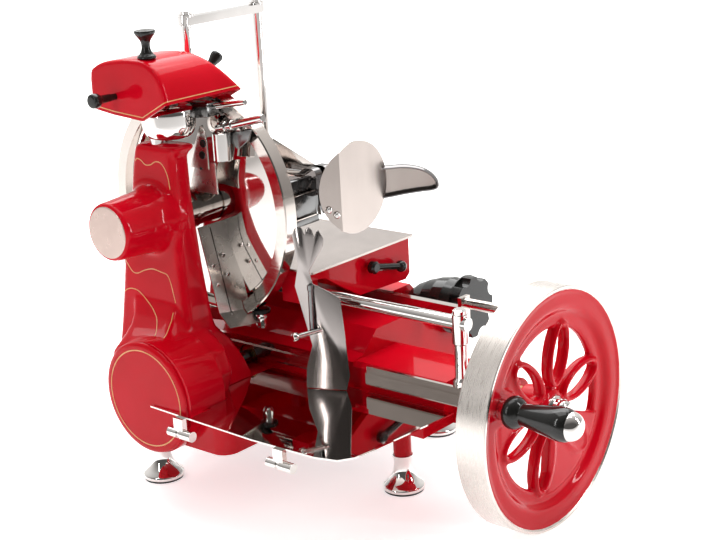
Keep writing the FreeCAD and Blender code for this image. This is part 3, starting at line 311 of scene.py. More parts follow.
def box(bm, x0, x1, y0, y1, z0, z1):
    slab(bm, [(x0, y0, z0), (x1, y0, z0), (x1, y1, z0), (x0, y1, z0)], (0, 0, z1 - z0))


def rod(bm, start, end, r, steps=28, r_end=None):
    way = Vector(end) - Vector(start)
    e = min(0.8, r * 0.3)
    last = r if r_end is None else r_end
    lathe(bm, ((0, 0), (0, r - e), (e, r), (way.length - e, last), (way.length, last - e),
               (way.length, 0)), start, way, steps)


def applied(work):
    """Plain mesh of an object with its modifiers; the object and its own mesh go."""
    bpy.context.view_layer.update()
    graph = bpy.context.evaluated_depsgraph_get()
    result = bpy.data.meshes.new_from_object(work.evaluated_get(graph))
    source = work.data
    bpy.data.objects.remove(work)
    bpy.data.meshes.remove(source)
    return result


def with_modifiers(shape, *steps):
    """Mesh that results from applying modifiers, each given as (type, settings)."""
    work = linked("shape", as_mesh(shape) if isinstance(shape, bmesh.types.BMesh) else shape)
    for kind, settings in steps:
        modifier = work.modifiers.new(kind, kind)
        for key, value in settings.items():
            setattr(modifier, key, value)
    return applied(work)


def grown(tree, sizes):
    """Mesh made by a Geometry Nodes tree from sizes given by name."""
    work = linked("shape", bpy.data.meshes.new("shape"))
    modifier = work.modifiers.new("tree", "NODES")
    modifier.node_group = tree
    for socket in tree.interface.items_tree:
        if socket.in_out == "INPUT":
            modifier[socket.identifier] = sizes[socket.name]
    return applied(work)


def voxels(size):
    return ("REMESH", {"mode": "VOXEL", "voxel_size": size, "use_smooth_shade": True})


def edges_rounded(width, segments=2, angle=35):
    return ("BEVEL", {"width": width, "segments": segments, "limit_method": "ANGLE",
                      "angle_limit": math.radians(angle), "use_clamp_overlap": True})


def positions(mesh):
    spots = np.empty(len(mesh.vertices) * 3)
    mesh.vertices.foreach_get("co", spots)
    return spots.reshape(-1, 3)


def soften(mesh, times, weight=None):
    """Ease the surface towards its neighbours; weight says how much, vertex by vertex."""
    spots = positions(mesh)
    pairs = np.empty(len(mesh.edges) * 2, dtype=np.int32)
    mesh.edges.foreach_get("vertices", pairs)
    a, b = pairs.reshape(-1, 2).T
    count = np.maximum(np.bincount(np.concatenate((a, b)), minlength=len(spots)), 1)
    share = np.full(len(spots), 0.5) if weight is None else weight * 0.5
    for _ in range(times):
        for axis in range(3):
            line = spots[:, axis]
            total = np.bincount(a, line[b], len(line)) + np.bincount(b, line[a], len(line))
            spots[:, axis] = line + share * (total / count - line)
    mesh.vertices.foreach_set("co", spots.ravel())
    mesh.update()
    return mesh


def local(mesh):
    """Vertex positions in millimetres from the middle of the blade."""
    return positions(mesh) * 1000 - np.array(BLADE_AXIS)


def turned_piece(name, profile, base, axis, finish, body, replaced=(), steps=72, angle=40):
    bm = bmesh.new()
    lathe(bm, profile, base, axis, steps)
    bmesh.ops.remove_doubles(bm, verts=bm.verts, dist=1e-6)
    return finished(bm, name, finish, body, angle, replaced)


def line_on(bm, surface, path, direction, width):
    """Add a painted line: the path is thrown onto a surface along a direction."""
    way = Vector(direction).normalized()
    spots = []
    for point in path:
        start = place(*(Vector(point) - way * 60))
        hit, normal, _, _ = surface.ray_cast(start, way)
        if hit is None:
            spots.append(None)
            continue
        spots.append((hit + normal * 0.00018, normal))
    rows = []
    for i, spot in enumerate(spots):
        before, after = spots[max(i - 1, 0)], spots[min(i + 1, len(spots) - 1)]
        if spot is None or before is None or after is None:
            rows.append(None)
            continue
        side = (after[0] - before[0]).cross(spot[1]).normalized() * width / 2000
        rows.append([bm.verts.new(spot[0] + side), bm.verts.new(spot[0] - side)])
    for low, high in zip(rows, rows[1:]):
        if low and high:
            bm.faces.new((low[0], high[0], high[1], low[1]))


def smooth_path(points, steps=8):
    """Catmull-Rom curve through points."""
    points = [Vector(p) for p in points]
    padded = [points[0] * 2 - points[1]] + points + [points[-1] * 2 - points[-2]]
    out = []
    for a, b, c, d in zip(padded, padded[1:], padded[2:], padded[3:]):
        for k in range(steps):
            t = k / steps
            out.append(0.5 * ((2 * b) + (c - a) * t + (2 * a - 5 * b + 4 * c - d) * t * t
                              + (3 * b - a - 3 * c + d) * t * t * t))
    out.append(points[-1])
    return out


def surface_of(mesh):
    bm = bmesh.new()
    bm.from_mesh(mesh)
    tree = BVHTree.FromBMesh(bm)
    bm.free()
    return tree


# Column with its boss and the drum at its foot, cast in one and blended where they meet

COLUMN_LEVELS = (
    (-231.5, 72.0, -91.0, -118.0, -7.0, 6.0), (-222.0, 71.5, -89.0, -115.0, -8.0, 6.0),
    (-205.0, 70.0, -85.0, -111.0, -13.0, 6.0), (-187.0, 69.0, -80.0, -107.0, -21.0, 6.0),
    (-170.0, 68.0, -75.0, -104.0, -31.0, 6.0), (-156.0, 67.0, -71.0, -102.0, -42.0, 6.5),
    (-148.0, 66.5, -68.0, -101.0, -47.0, 7.0), (-135.0, 66.0, -64.5, -99.5, -47.0, 8.0),
    (-100.0, 63.0, -59.5, -96.0, -47.5, 9.0), (-60.0, 60.0, -54.0, -92.0, -48.0, 9.0),
    (30.0, 44.0, -45.0, -84.0, -48.0, 9.0), (84.0, 34.5, -42.5, -81.0, -47.0, 9.0),
    (90.0, 33.0, -44.5, -80.5, -44.5, 9.0), (94.0, 32.0, -48.0, -80.0, -40.0, 9.0),
    (97.5, 30.0, -48.5, -79.5, -38.5, 9.0), (100.0, 25.0, -44.0, -76.0, -42.0, 10.0),
    (102.0, 14.0, -32.0, -68.0, -50.0, 8.0),
)


COLUMN_VOXEL, WHEEL_VOXEL, HOOD_VOXEL = 0.00175, 0.0017, 0.0016
BOSS_ROOT_R = 45.0
FAR = 99.0


def section(level, steps=5):
    """Rectangle with round corners at one height, as points."""
    z, back, front, left, right, corner = level
    points = []
    for cx, cy, start in ((right - corner, back - corner, 0), (left + corner, back - corner, 90),
                          (left + corner, front + corner, 180), (right - corner, front + corner, 270)):
        for k in range(steps + 1):
            a = math.radians(start + 90 * k / steps)
            points.append((cx + corner * math.cos(a), cy + corner * math.sin(a), z))
    return points


def make_column():
    bm = bmesh.new()
    loft(bm, [section(level) for level in COLUMN_LEVELS])
    shoulder = []
    for z, left, back, front in ((-240, -157, 30, -98), (-200, -157, 36, -112), (-172, -156, 30, -100),
                                 (-160, -152, 22, -86), (-152, -143, 20, -74), (-142, -126, 24, -62),
                                 (-130, -110, 34, -56), (-112, -98, 44, -50), (-90, -88, 46, -44)):
        shoulder.append(section((z, back, front, left, -60, 12)))
    loft(bm, shoulder)
    lathe(bm, ((0, 0), (0, 36.8), (2.5, 39.0), (66, 43.5), (84, 49), (100, 51), (100, 0)),
          (BOSS_END_X, 0, 0), (1, 0, 0), 96)
    lathe(bm, ((0, 0), (0, DRUM_R - 0.4), (64, DRUM_R - 0.4), (64, 0)), (DRUM_END_X, DRUM_Y, DRUM_Z),
          (1, 0, 0), 128)
    mesh = with_modifiers(bm, voxels(COLUMN_VOXEL))
    soften(mesh, 7)
    # Blend the roots of boss and drum into the column, more the nearer a vertex is to them
    spots = local(mesh)
    boss = np.abs(np.hypot(spots[:, 1], spots[:, 2]) - BOSS_ROOT_R)
    boss[(spots[:, 0] > -70) | (spots[:, 0] < -120)] = FAR
    drum = np.abs(np.hypot(spots[:, 1] - DRUM_Y, spots[:, 2] - DRUM_Z) - DRUM_R)
    drum[(spots[:, 0] > -84) | (spots[:, 0] < -150) | (spots[:, 2] < -226)] = FAR
    near = np.minimum(boss / 14, drum / 16)
    soften(mesh, 40, np.clip(1.25 - near, 0, 1))
    finished(mesh, "column_body", RED, "stand", 80, ("column_casting",))

    surface = surface_of(mesh)
    bm = bmesh.new()
    frames = (
        ((-80, 28, 76), (-80, 24, 80), (-80, 16, 78), (-80, 8, 73), (-80, -2, 74), (-80, -12, 79),
         (-80, -22, 78), (-80, -30, 70), (-80, -35, 58), (-80, -37, 44)),
        ((-90, 56, -62), (-90, 50, -68), (-90, 40, -77), (-90, 30, -78), (-90, 16, -72), (-90, 0, -68),
         (-90, -18, -70), (-90, -28, -72), (-90, -34, -80), (-90, -40, -96), (-90, -44, -108)),
        ((-90, -44, -120), (-90, -47, -132), (-90, -52, -142), (-90, -55, -150)),
        ((-90, 58, -108), (-90, 50, -103), (-90, 40, -101), (-90, 28, -103), (-90, 12, -112),
         (-90, -6, -121), (-90, -24, -134), (-90, -38, -146), (-90, -48, -153), (-90, -55, -150)),
    )
    for path in frames:
        line_on(bm, surface, smooth_path(path, 10), (1, 0, 0), 1.3)
    finished(bm, "column_lines", GOLD, "stand", 60)


def make_covers():
    turned_piece("boss_disc", rounded(((0, 0), (0, 33.2), (0, 34.4), (1.0, 34.9), (3, 34.9)), 1),
                 (BOSS_END_X - 0.5, 0, 0), (1, 0, 0), SATIN, "stand", ("boss_cap",), 96)
    turned_piece("drum_disc", rounded(((0, 0), (0, DRUM_R - 9), (0.3, DRUM_R - 5), (1.6, DRUM_R - 1.2),
                                       (3.6, DRUM_R), (5.2, DRUM_R)), 2),
                 (DRUM_DISC_X, DRUM_Y, DRUM_Z), (1, 0, 0), RED, "stand", ("drum_cover",), 128)
    turned_piece("drum_line", ((0, DRUM_R - 11.3), (-0.25, DRUM_R - 11.1), (-0.25, DRUM_R - 9.9),
                               (0, DRUM_R - 9.7)),
                 (DRUM_DISC_X - 0.05, DRUM_Y, DRUM_Z), (1, 0, 0), GOLD, "stand", (), 128)


# Flywheel

def flower_tree():
    """Geometry Nodes tree: ellipses of a rounded bar, set at equal angles round a centre."""
    tree = bpy.data.node_groups.new("flower_of_loops", "GeometryNodeTree")
    for name, kind in (("Loops", "NodeSocketInt"), ("Distance", "NodeSocketFloat"),
                       ("Half Length", "NodeSocketFloat"), ("Half Width", "NodeSocketFloat"),
                       ("Bar Width", "NodeSocketFloat"), ("Bar Depth", "NodeSocketFloat"),
                       ("First Angle", "NodeSocketFloat"), ("Finish", "NodeSocketMaterial")):
        tree.interface.new_socket(name, in_out="INPUT", socket_type=kind)
    tree.interface.new_socket("Geometry", in_out="OUTPUT", socket_type="NodeSocketGeometry")
    given = tree.nodes.new("NodeGroupInput").outputs

    def node(kind, settings=(), inputs=()):
        made = tree.nodes.new(kind)
        for key, value in settings:
            setattr(made, key, value)
        for key, value in inputs:
            if isinstance(value, bpy.types.NodeSocket):
                tree.links.new(value, made.inputs[key])
            else:
                made.inputs[key].default_value = value
        return made.outputs

    def oval(steps, radius, scale_x, scale_y, shift_x=0.0):
        circle = node("GeometryNodeCurvePrimitiveCircle", (), (("Resolution", steps), ("Radius", radius)))
        scale = node("ShaderNodeCombineXYZ", (), (("X", scale_x), ("Y", scale_y), ("Z", 1.0)))
        shift = node("ShaderNodeCombineXYZ", (), (("X", shift_x),))
        return node("GeometryNodeTransform", (), (("Geometry", circle["Curve"]), ("Scale", scale["Vector"]),
                                                  ("Translation", shift["Vector"])))["Geometry"]

    loop = oval(56, 1.0, given["Half Length"], given["Half Width"], given["Distance"])
    bar = oval(12, 0.5, given["Bar Width"], given["Bar Depth"])
    solid = node("GeometryNodeCurveToMesh", (), (("Curve", loop), ("Profile Curve", bar)))["Mesh"]
    step = node("ShaderNodeMath", (("operation", "DIVIDE"),),
                ((0, 2 * math.pi), (1, given["Loops"])))["Value"]
    index = node("GeometryNodeInputIndex")["Index"]
    angle = node("ShaderNodeMath", (("operation", "MULTIPLY_ADD"),),
                 ((0, index), (1, step), (2, given["First Angle"])))["Value"]
    turn = node("ShaderNodeCombineXYZ", (), (("Z", angle),))["Vector"]
    points = node("GeometryNodePoints", (), (("Count", given["Loops"]),))
    copies = node("GeometryNodeInstanceOnPoints", (), (("Points", points[0]), ("Instance", solid),
                                                       ("Rotation", turn)))["Instances"]
    real = node("GeometryNodeRealizeInstances", (), (("Geometry", copies),))["Geometry"]
    painted = node("GeometryNodeSetMaterial", (), (("Geometry", real), ("Material", given["Finish"])))
    tree.links.new(painted["Geometry"], tree.nodes.new("NodeGroupOutput").inputs["Geometry"])
    return tree


def add_flower(bm):
    """Add the six loops, stood up in the plane of the wheel."""
    mesh = grown(flower_tree(), {"Loops": 6, "Distance": 70.0, "Half Length": 39.0, "Half Width": 17.5,
                                 "Bar Width": 8.8, "Bar Depth": 18.6, "First Angle": math.radians(15),
                                 "Finish": RED})
    for vert in mesh.vertices:
        u, v, lift = vert.co
        vert.co = place(WHEEL_X + u, WHEEL_FACE + 14 + lift, WHEEL_Z + v)
    bm.from_mesh(mesh)
    bpy.data.meshes.remove(mesh)


def sector(bm, first, last, r0, r1, y0, y1, steps=24):
    """Add part of a thick ring between two angles."""
    rows = []
    for k in range(steps + 1):
        a = math.radians(first + (last - first) * k / steps)
        row = []
        for r, y in ((r0, y0), (r1, y0), (r1, y1), (r0, y1)):
            row.append(bm.verts.new(place(WHEEL_X + r * math.cos(a), y, WHEEL_Z + r * math.sin(a))))
        rows.append(row)
    for low, high in zip(rows, rows[1:]):
        for i in range(4):
            j = (i + 1) % 4
            bm.faces.new((low[i], low[j], high[j], high[i]))
    bm.faces.new(rows[0])
    bm.faces.new(list(reversed(rows[-1])))


# Profiles of the wheel hold (distance behind its face, radius)
RIM_PROFILE = ((2.0, 153), (0.5, 155), (0, 155.4), (0, 158.2), (0.8, 159), (42.2, 159), (43, 158.2),
               (43, 147), (41, 146), (24, 146), (24, 153), (2.0, 153))
WEB_PROFILE = ((1.0, 156), (1.2, 152), (3.0, 148), (3.0, 133), (5, 128), (9.5, 123), (10.5, 119),
               (10.5, 108), (13, 105), (20, 105), (22, 108), (22, 140), (24, 146.5), (24, 156), (1.0, 156))
HUB_PROFILE = ((5, 0), (5, 19), (8, 25), (26, 27), (49, 25), (49, 0))


def make_flywheel():
    face = WHEEL_FACE
    centre = (WHEEL_X, face, WHEEL_Z)
    turned_piece("wheel_rim", RIM_PROFILE, centre, (0, 1, 0), RIM_STEEL, "wheel", (), 192)
    bm = bmesh.new()
    lathe(bm, WEB_PROFILE, centre, (0, 1, 0), 160)
    lathe(bm, HUB_PROFILE, centre, (0, 1, 0), 64)
    add_flower(bm)
    # Filled part of the web, and the two thicker places under the handle's pin
    sector(bm, 263, 339, 24, 112, face + 7.5, face + 22)
    sector(bm, 138, 188, 84, 112, face + 9.5, face + 22)
    sector(bm, 150, 172, 98, 147, face + 2.5, face + 22)
    bmesh.ops.remove_doubles(bm, verts=bm.verts, dist=1e-6)
    mesh = with_modifiers(bm, voxels(WHEEL_VOXEL))
    soften(mesh, 6)
    finished(mesh, "wheel_casting", RED, "wheel", 80, ("flywheel",))
    turned_piece("wheel_nut", rounded(((-16, 0), (-16, 9), (-13, 14), (-6, 16), (0, 16), (0, 16), (3, 19),
                                       (8, 19)), 2),
                 centre, (0, 1, 0), CHROME, "wheel", ("hub_nut",), 48)


def handle_place():
    a = math.radians(HANDLE_ANGLE)
    return WHEEL_X + HANDLE_REACH * math.cos(a), WHEEL_Z + HANDLE_REACH * math.sin(a)


def make_handle():
    x, z = handle_place()
    end = WHEEL_FACE - GRIP_REACH
    profile = rounded(((3, 0), (3, 15), (3, 17.6), (8, 20), (16, 21), (28, 19.6), (50, 16), (68, 13.2),
                       (70.5, 13.0), (73, 16.5), (78, 20), (85, 20.6), (90, 18), (91.5, 13), (91.5, 0)))
    turned_piece("handle_grip_turned", profile, (x, end, z), (0, 1, 0), BLACK, "grip",
                 ("handle_grip",), 96)
    turned_piece("handle_end", rounded(((0, 0), (0, 6), (2, 11.5), (6, 15.4), (11, 17.6), (13.5, 18),
                                        (13.5, 0))),
                 (x, end - 10, z), (0, 1, 0), CHROME, "grip", ("handle_cap",), 72)


# Bell feet

FEET = ((-82, 28), (74, -284), (262, -200), (262, 140))
FLOOR_Z = -383.0


def make_feet():
    bm = bmesh.new()
    for x, y in FEET:
        profile = rounded(((3, 0), (3, 27), (3, 29), (4.5, 29.5), (8, 29.2), (11, 26), (16, 20.5),
                           (23, 15.6), (32, 12.8), (43, 12.2), (46, 13.4), (50, 14), (52, 14), (52, 0)))
        lathe(bm, profile, (x, y, FLOOR_Z), (0, 0, 1), 80)
    bmesh.ops.remove_doubles(bm, verts=bm.verts, dist=1e-6)
    finished(bm, "bell_feet", CHROME, "stand", 50, ("feet",))


# Sharpener's hood, its knobs and the bright parts under it

HOOD_SIDE = ((84, 120), (82, 190), (74, 202), (56, 210), (28, 214.5), (0, 216.5), (-20, 215),
             (-36, 210), (-48, 200), (-56, 187), (-61, 168), (-62.5, 150), (-62, 120))


# The lower edge has three stretches: a point on each and the way out of the hood across it
HOOD_EDGE = (((0, -16, 137), (0, -24, -46)), ((0, -16, 137), (0, 4, -56)), ((0, 40, 141), (0, 6, -44)))
HOOD_LEFT, HOOD_LENGTH, HOOD_WALL = -100.0, 144.0, 0.0025
HOOD_LINE_RISE, HOOD_LINE_WIDTH = 4.2, 1.4
PAINT_LIFT = 0.0002


def cut_away(bm, point, normal):
    """Remove what lies beyond a plane, on the side that its normal points to."""
    bmesh.ops.bisect_plane(bm, geom=bm.verts[:] + bm.edges[:] + bm.faces[:],
                           plane_co=place(*point), plane_no=Vector(normal), clear_outer=True)


def trim_hood(bm, rise):
    """Open the hood from below along its V-shaped edge, lifted by rise."""
    for (x, y, z), out in HOOD_EDGE:
        cut_away(bm, (x, y, z + rise), Vector(out))


def hood_outside():
    bm = bmesh.new()
    side = smooth_path([(0, y, z) for y, z in HOOD_SIDE], 3)
    slab(bm, [(HOOD_LEFT, p.y, p.z) for p in side], (HOOD_LENGTH, 0, 0))
    bmesh.ops.recalc_face_normals(bm, faces=bm.faces)
    cut_away(bm, (-18, 0, 222), Vector((65, 0, 63)))
    bmesh.ops.holes_fill(bm, edges=[e for e in bm.edges if e.is_boundary], sides=0)
    mesh = with_modifiers(bm, voxels(HOOD_VOXEL))
    weight = np.clip((local(mesh)[:, 2] - 128) / 8, 0, 1)
    return soften(mesh, 26, weight)


def make_hood():
    outside = hood_outside()
    shell = bmesh.new()
    shell.from_mesh(outside)
    trim_hood(shell, 0)
    wall = with_modifiers(shell, ("SOLIDIFY", {"thickness": HOOD_WALL, "offset": -1.0}))
    finished(wall, "hood_shell", RED, "sharpener", 50, ("sharpener_hood",))

    line = bmesh.new()
    line.from_mesh(outside)
    bpy.data.meshes.remove(outside)
    trim_hood(line, HOOD_LINE_RISE)
    rise = HOOD_LINE_RISE + HOOD_LINE_WIDTH
    for (x, y, z), out in HOOD_EDGE:
        bmesh.ops.bisect_plane(line, geom=line.verts[:] + line.edges[:] + line.faces[:],
                               plane_co=place(x, y, z + rise), plane_no=-Vector(out))
    above = []
    for face in line.faces:
        y, z = (face.calc_center_median() * 1000 - BLADE_AXIS).yz
        if z > max(z0 + rise - (y - y0) * out[1] / out[2] for (_, y0, z0), out in HOOD_EDGE):
            above.append(face)
    bmesh.ops.delete(line, geom=above, context="FACES")
    line.normal_update()
    for vert in line.verts:
        vert.co += vert.normal * PAINT_LIFT
    finished(line, "hood_line", GOLD, "sharpener", 60)


LOCK_KNOB_AT, GRINDING_KNOB_AT, HONING_KNOB_AT = (-80, -12, 217), (-142, 34, 166), (18, -2, 169)


def make_knobs():
    turned_piece("top_knob", rounded(((-36, 0), (-36, 4), (-1, 4), (-1, 4), (-1, 9), (-1, 12.4), (2, 12.6),
                                      (5, 8.8), (10, 6.2), (16, 5.6), (22, 6.6), (27, 10.4), (31, 13.6),
                                      (34, 14.2), (36, 13.2), (35.4, 9), (34.6, 0))),
                 LOCK_KNOB_AT, (0, 0, 1), BLACK, "top_knob", ("lock_knob",), 64)
    turned_piece("grinding_button", rounded(((0, 0), (0, 7), (1.5, 9.5), (6, 10.2), (11, 9.4), (15, 6.5),
                                             (19, 5.4), (34, 5.2), (34, 4), (134, 4), (134, 0))),
                 GRINDING_KNOB_AT, (1, 0, 0), BLACK, "grinder", ("grinding_knob",), 56)
    turned_piece("honing_button", rounded(((-6, 0), (-6, 3), (4, 3), (4, 5), (22, 5), (30, 5.2),
                                           (38, 6.8), (47, 9.2), (50.5, 8.8), (52, 6), (52, 0))),
                 HONING_KNOB_AT, (0.8, 0, 0.6), BLACK, "honer", ("honing_knob",), 48)


def make_sharpener_parts():
    turned_piece("sharpener_cup", rounded(((0, 0), (0, 24), (1, 28), (6, 32.5), (14, 35.6), (24, 36),
                                           (44, 36), (44, 0)), 2),
                 (-50, -11, 106.5), (0, 0, 1), CHROME, "sharpener", (), 96)
    bm = bmesh.new()
    rod(bm, (-16, -66, 116), (-14, -150, 137), 5.5, 32)
    rod(bm, (-16, -74, 118), (-16, -84, 120.5), 7.0, 32)
    rod(bm, (-16, -92, 122.5), (-16, -96, 123.5), 6.6, 32)
    rod(bm, (-12, -50, 143), (-12, -118, 155), 4.0, 24)
    rod(bm, (-16, -73, 74), (-16, -73, 112), 12.5, 40)
    finished(bm, "sharpener_rods", CHROME, "sharpener", 40)
    bm = bmesh.new()
    slab(bm, [(-10, -84, 112), (-10, -122, 118), (-10, -116, 104), (-10, -96, 90), (-10, -84, 96)],
         (3, 0, 0))
    slab(bm, [(-24, -8, 150), (-24, -58, 150), (-24, -58, 132), (-24, -30, 128)], (22, 0, 0))
    finished(with_modifiers(bm, edges_rounded(0.0008)), "sharpener_cheeks", OILED, "sharpener",
             40)
    bm = bmesh.new()
    slab(bm, [(-22, -14, 60), (-22, -20, 80), (-22, -39, 118), (-22, -43, 120), (-22, -48, 112),
              (-22, -50, 92), (-22, -50, 66), (-22, -50, 60)], (2.5, 0, 0))
    slab(bm, [(-21, -8, 27), (-21, -24, 66), (-21, -62, 70), (-21, -62, 27)], (2.5, 0, 0))
    bracket = with_modifiers(bm, edges_rounded(0.0006))
    finished(bracket, "upper_plate", SATIN_DARK, "stand", 40)
    bm = bmesh.new()
    for y, z, r in ((-43, 95, 5.6), (-40, 79, 5.6), (-35, 60, 1.8)):
        lathe(bm, ((0, 0), (0, r - 0.6), (0.6, r), (1.2, r), (1.2, 0)), (-23.2, y, z), (1, 0, 0), 32)
    finished(bm, "upper_plate_plugs", BLACK, "stand", 40)


# Blade, its guard and the plates beside it

def make_blade():
    profile = [(4.4, 9), (4.4, 60), (4.6, 72), (5.3, 80), (6.8, 90), (10.8, 112), (15.2, 138)]
    front = [(18.5, 138), (21.5, 149.4), (22.6, 150), (23.4, 149.6), (22.6, 146), (20, 136), (18.4, 120),
             (18.2, 60), (18.2, 9)]
    turned_piece("dished_blade", profile + front, (0, 0, 0), (1, 0, 0), MIRROR, "cutter",
                 ("blade",), 160, 12)


PLATE_LEAN = 0.24
RING_FOOT_AT = (24, -84)


def plate_y(z, out):
    """Front of the leaning blade plate at a height, moved out from it."""
    return -44 + PLATE_LEAN * (z + 16) - out


def make_blade_plate_parts():
    """Countersunk screws, narrow dark seam and the small foot under the ring."""
    head = rounded(((0, 0), (0, 3), (0.9, 3.4), (1.6, 3.4)), 1)
    bm = bmesh.new()
    for z in (-70.0, -96.0):
        for x, rise in ((-36, 0), (-16, 10)):
            lathe(bm, head, (x, plate_y(z, 3.0), z + rise), (0, 1, PLATE_LEAN), 24)
    finished(bm, "plate_screws", CHROME, "stand", 40)
    bm = bmesh.new()
    z0, z1 = -20.0, -136.0
    y0, y1 = plate_y(z0, 2.2), plate_y(z1, 2.2)
    slab(bm, [(-25.6, y0, z0), (-24.4, y0, z0), (-24.4, y1, z1), (-25.6, y1, z1)], (0, -0.3, 0))
    finished(bm, "plate_seam", BLACK, "stand", 40)
    bm = bmesh.new()
    lathe(bm, rounded(((0, 0), (0, 12), (1, 13), (5, 13), (7, 11), (7, 0)), 2), (*RING_FOOT_AT, -149),
          (0, 0, 1), 40)
    finished(bm, "ring_foot_pad", BLACK, "stand", 40)
    bm = bmesh.new()
    lathe(bm, rounded(((0, 0), (0, 5.5), (4, 6.5), (5, 8.2), (16, 8.2), (18, 7.4), (22, 7.4), (22, 0)), 1),
          (*RING_FOOT_AT, -171), (0, 0, 1), 40)
    finished(bm, "ring_foot", CHROME, "stand", 40)


# Points (y, z) of the deflector, whose plate leans away from the ring
DEFLECTOR_OUTLINE = (
    (-180.9, -17.3), (-186, -57.7), (-180.2, -86.5), (-188.9, -125.7), (-198.4, -168.2), (-188.9, -200.2),
    (-187.4, -229.2), (-240.4, -229.2), (-245.7, -208.5), (-238.2, -101.2), (-226, -93), (-203.5, -82.4),
    (-199.8, -65.9), (-218.9, -30.9), (-221.1, -21.2), (-215.2, -9), (-212, -11), (-209.3, -18.5),
    (-206.5, -9), (-202, -5), (-198.5, -9), (-197, -16.7), (-194, -8), (-190, -4), (-184.5, -8),
)
DEFLECTOR_LEAN = 0.398


def make_deflector():
    points = [Vector((5 - DEFLECTOR_LEAN * (y + 213), y, z)) for y, z in DEFLECTOR_OUTLINE]
    bm = bmesh.new()
    slab(bm, points, (1.85, 0.74, 0))
    mesh = with_modifiers(bm, edges_rounded(0.0005))
    finished(mesh, "deflector_blade", PLATE_STEEL, "deflector", 40, ("deflector",))
    bm = bmesh.new()
    rod(bm, (-4, -204, -88), (-3, -202, -148), 3.4, 28)
    rod(bm, (-4, -204, -82), (-4, -204, -90), 4.2, 28)
    finished(bm, "deflector_lever", OILED, "deflector", 40, ("deflector_clamp",))
    bm = bmesh.new()
    rod(bm, (-30, -196, -148), (12, -212, -146), 3.4, 28)
    lathe(bm, rounded(((0, 0), (0, 4.4), (2, 6), (7, 6), (9, 4), (9, 0)), 2), (-34, -194.4, -148.2),
          (0.934, -0.356, 0.04), 32)
    lathe(bm, rounded(((0, 0), (0, 3.6), (2, 4.8), (8, 4.8), (10, 3.6), (10, 0)), 2), (8, -210.4, -146.2),
          (0.934, -0.356, 0.04), 32)
    finished(bm, "deflector_bar", CHROME, "deflector", 40)


# Press and the guard for the hand on it

# Points (along, up) of the scoop's rim from the corner where it is fixed
SCOOP_RIM = ((8, 38), (40, 40), (68, 40), (90, 40), (110, 36), (124, 29), (133, 19), (135, 10), (128, 6),
             (112, 5), (90, 3), (66, 0), (40, -2), (12, -2))
SCOOP_CORNER = (122, -155, 0)
SCOOP_EDGE_R, SCOOP_HALF_DEPTH = 2.6, 9.0
DIAGONAL = 0.7071


def on_scoop(along, up, out=0.0):
    """Point of the scoop, which stands at 45 degrees to the table's edges."""
    return (Vector(SCOOP_CORNER) + Vector((DIAGONAL, -DIAGONAL, 0)) * along
            + Vector((-DIAGONAL, -DIAGONAL, 0)) * out + Vector((0, 0, up)))


def make_press():
    bm = bmesh.new()
    slab(bm, [(24, -128, 102), (110, -128, 46), (110, -128, 38), (46, -128, 56), (24, -128, 84)], (0, 5, 0))
    rod(bm, (44, -126, 50), (110, -126, 33), 4.4)
    box(bm, 56, 100, -129, -116, 13, 15.5)
    box(bm, 58, 100, -130, -116, -21, -18.5)
    box(bm, 84, 96, -128, -116, 16, 25)
    mesh = with_modifiers(bm, edges_rounded(0.0008))
    finished(mesh, "press_bars", STEEL, "press", 40)
    bm = bmesh.new()
    box(bm, 57, 101, -127, -116, -18, 13)
    box(bm, 56, 82, -125, -116, 16, 34)
    box(bm, 46, 110, -125, -116, -32, -22)
    box(bm, 36, 58, -125, -118, -6, 30)
    finished(with_modifiers(bm, edges_rounded(0.0008)), "press_blocks", OILED, "press", 40)
    bm = bmesh.new()
    for x, y, z in ((56.5, -191.4, 3.6), (64, -198.3, -4.2)):
        lathe(bm, rounded(((0, 0), (0, 3), (1.6, 4.6), (4.4, 4.6), (4.4, 0)), 2), (x - 2.6, y - 2.9, z),
              (0.669, 0.743, 0), 28)
    finished(bm, "guard_bolts", CHROME, "guard", 40)


def make_scoop():
    path = smooth_path([(along, up, 0) for along, up in SCOOP_RIM], 5)
    bm = bmesh.new()
    slab(bm, [on_scoop(p.x, p.y, -2) for p in path], (1.2, 1.2, 0))
    finished(bm, "guard_scoop_plate", BRUSHED, "guard", 40)
    bm = bmesh.new()
    sections = []
    for i, p in enumerate(path):
        before, after = path[max(i - 1, 0)], path[min(i + 1, len(path) - 1)]
        along = (after - before).normalized()
        across = Vector((-along.y, along.x))
        ring = []
        for k in range(10):
            a = 2 * math.pi * k / 10
            side = across * SCOOP_EDGE_R * math.cos(a)
            ring.append(on_scoop(p.x + side.x, p.y + side.y, SCOOP_HALF_DEPTH * math.sin(a)))
        sections.append(ring)
    loft(bm, sections)
    box(bm, 96, 130, -184, -170, 8, 38)
    box(bm, 92, 100, -199, -141, -4, 16)
    finished(bm, "guard_scoop", DARK_CHROME, "guard", 40, ("guard_handle",))


# Camera, light and floor

CAMERA_AT = (-1414.677, -1497.072, 504.848)
CAMERA_AHEAD = (0.72770666, 0.62357332, -0.28565599)
CAMERA_RIGHT = (0.63831427, -0.76810823, -0.05064224)
CAMERA_LENS_MM = 76.683
FLOOR_RADIUS = 40.0
FRONT_OF_OBJECT = (-0.565, -0.825, 0)
# Painted shade: the floor's glow fades from FLOOR_GLOW to DIM_FLOOR_GLOW far in front of the object.
FADE_FROM, FADE_TO = 0.62, 0.95
FLOOR_GLOW, DIM_FLOOR_GLOW = 0.56, 0.05


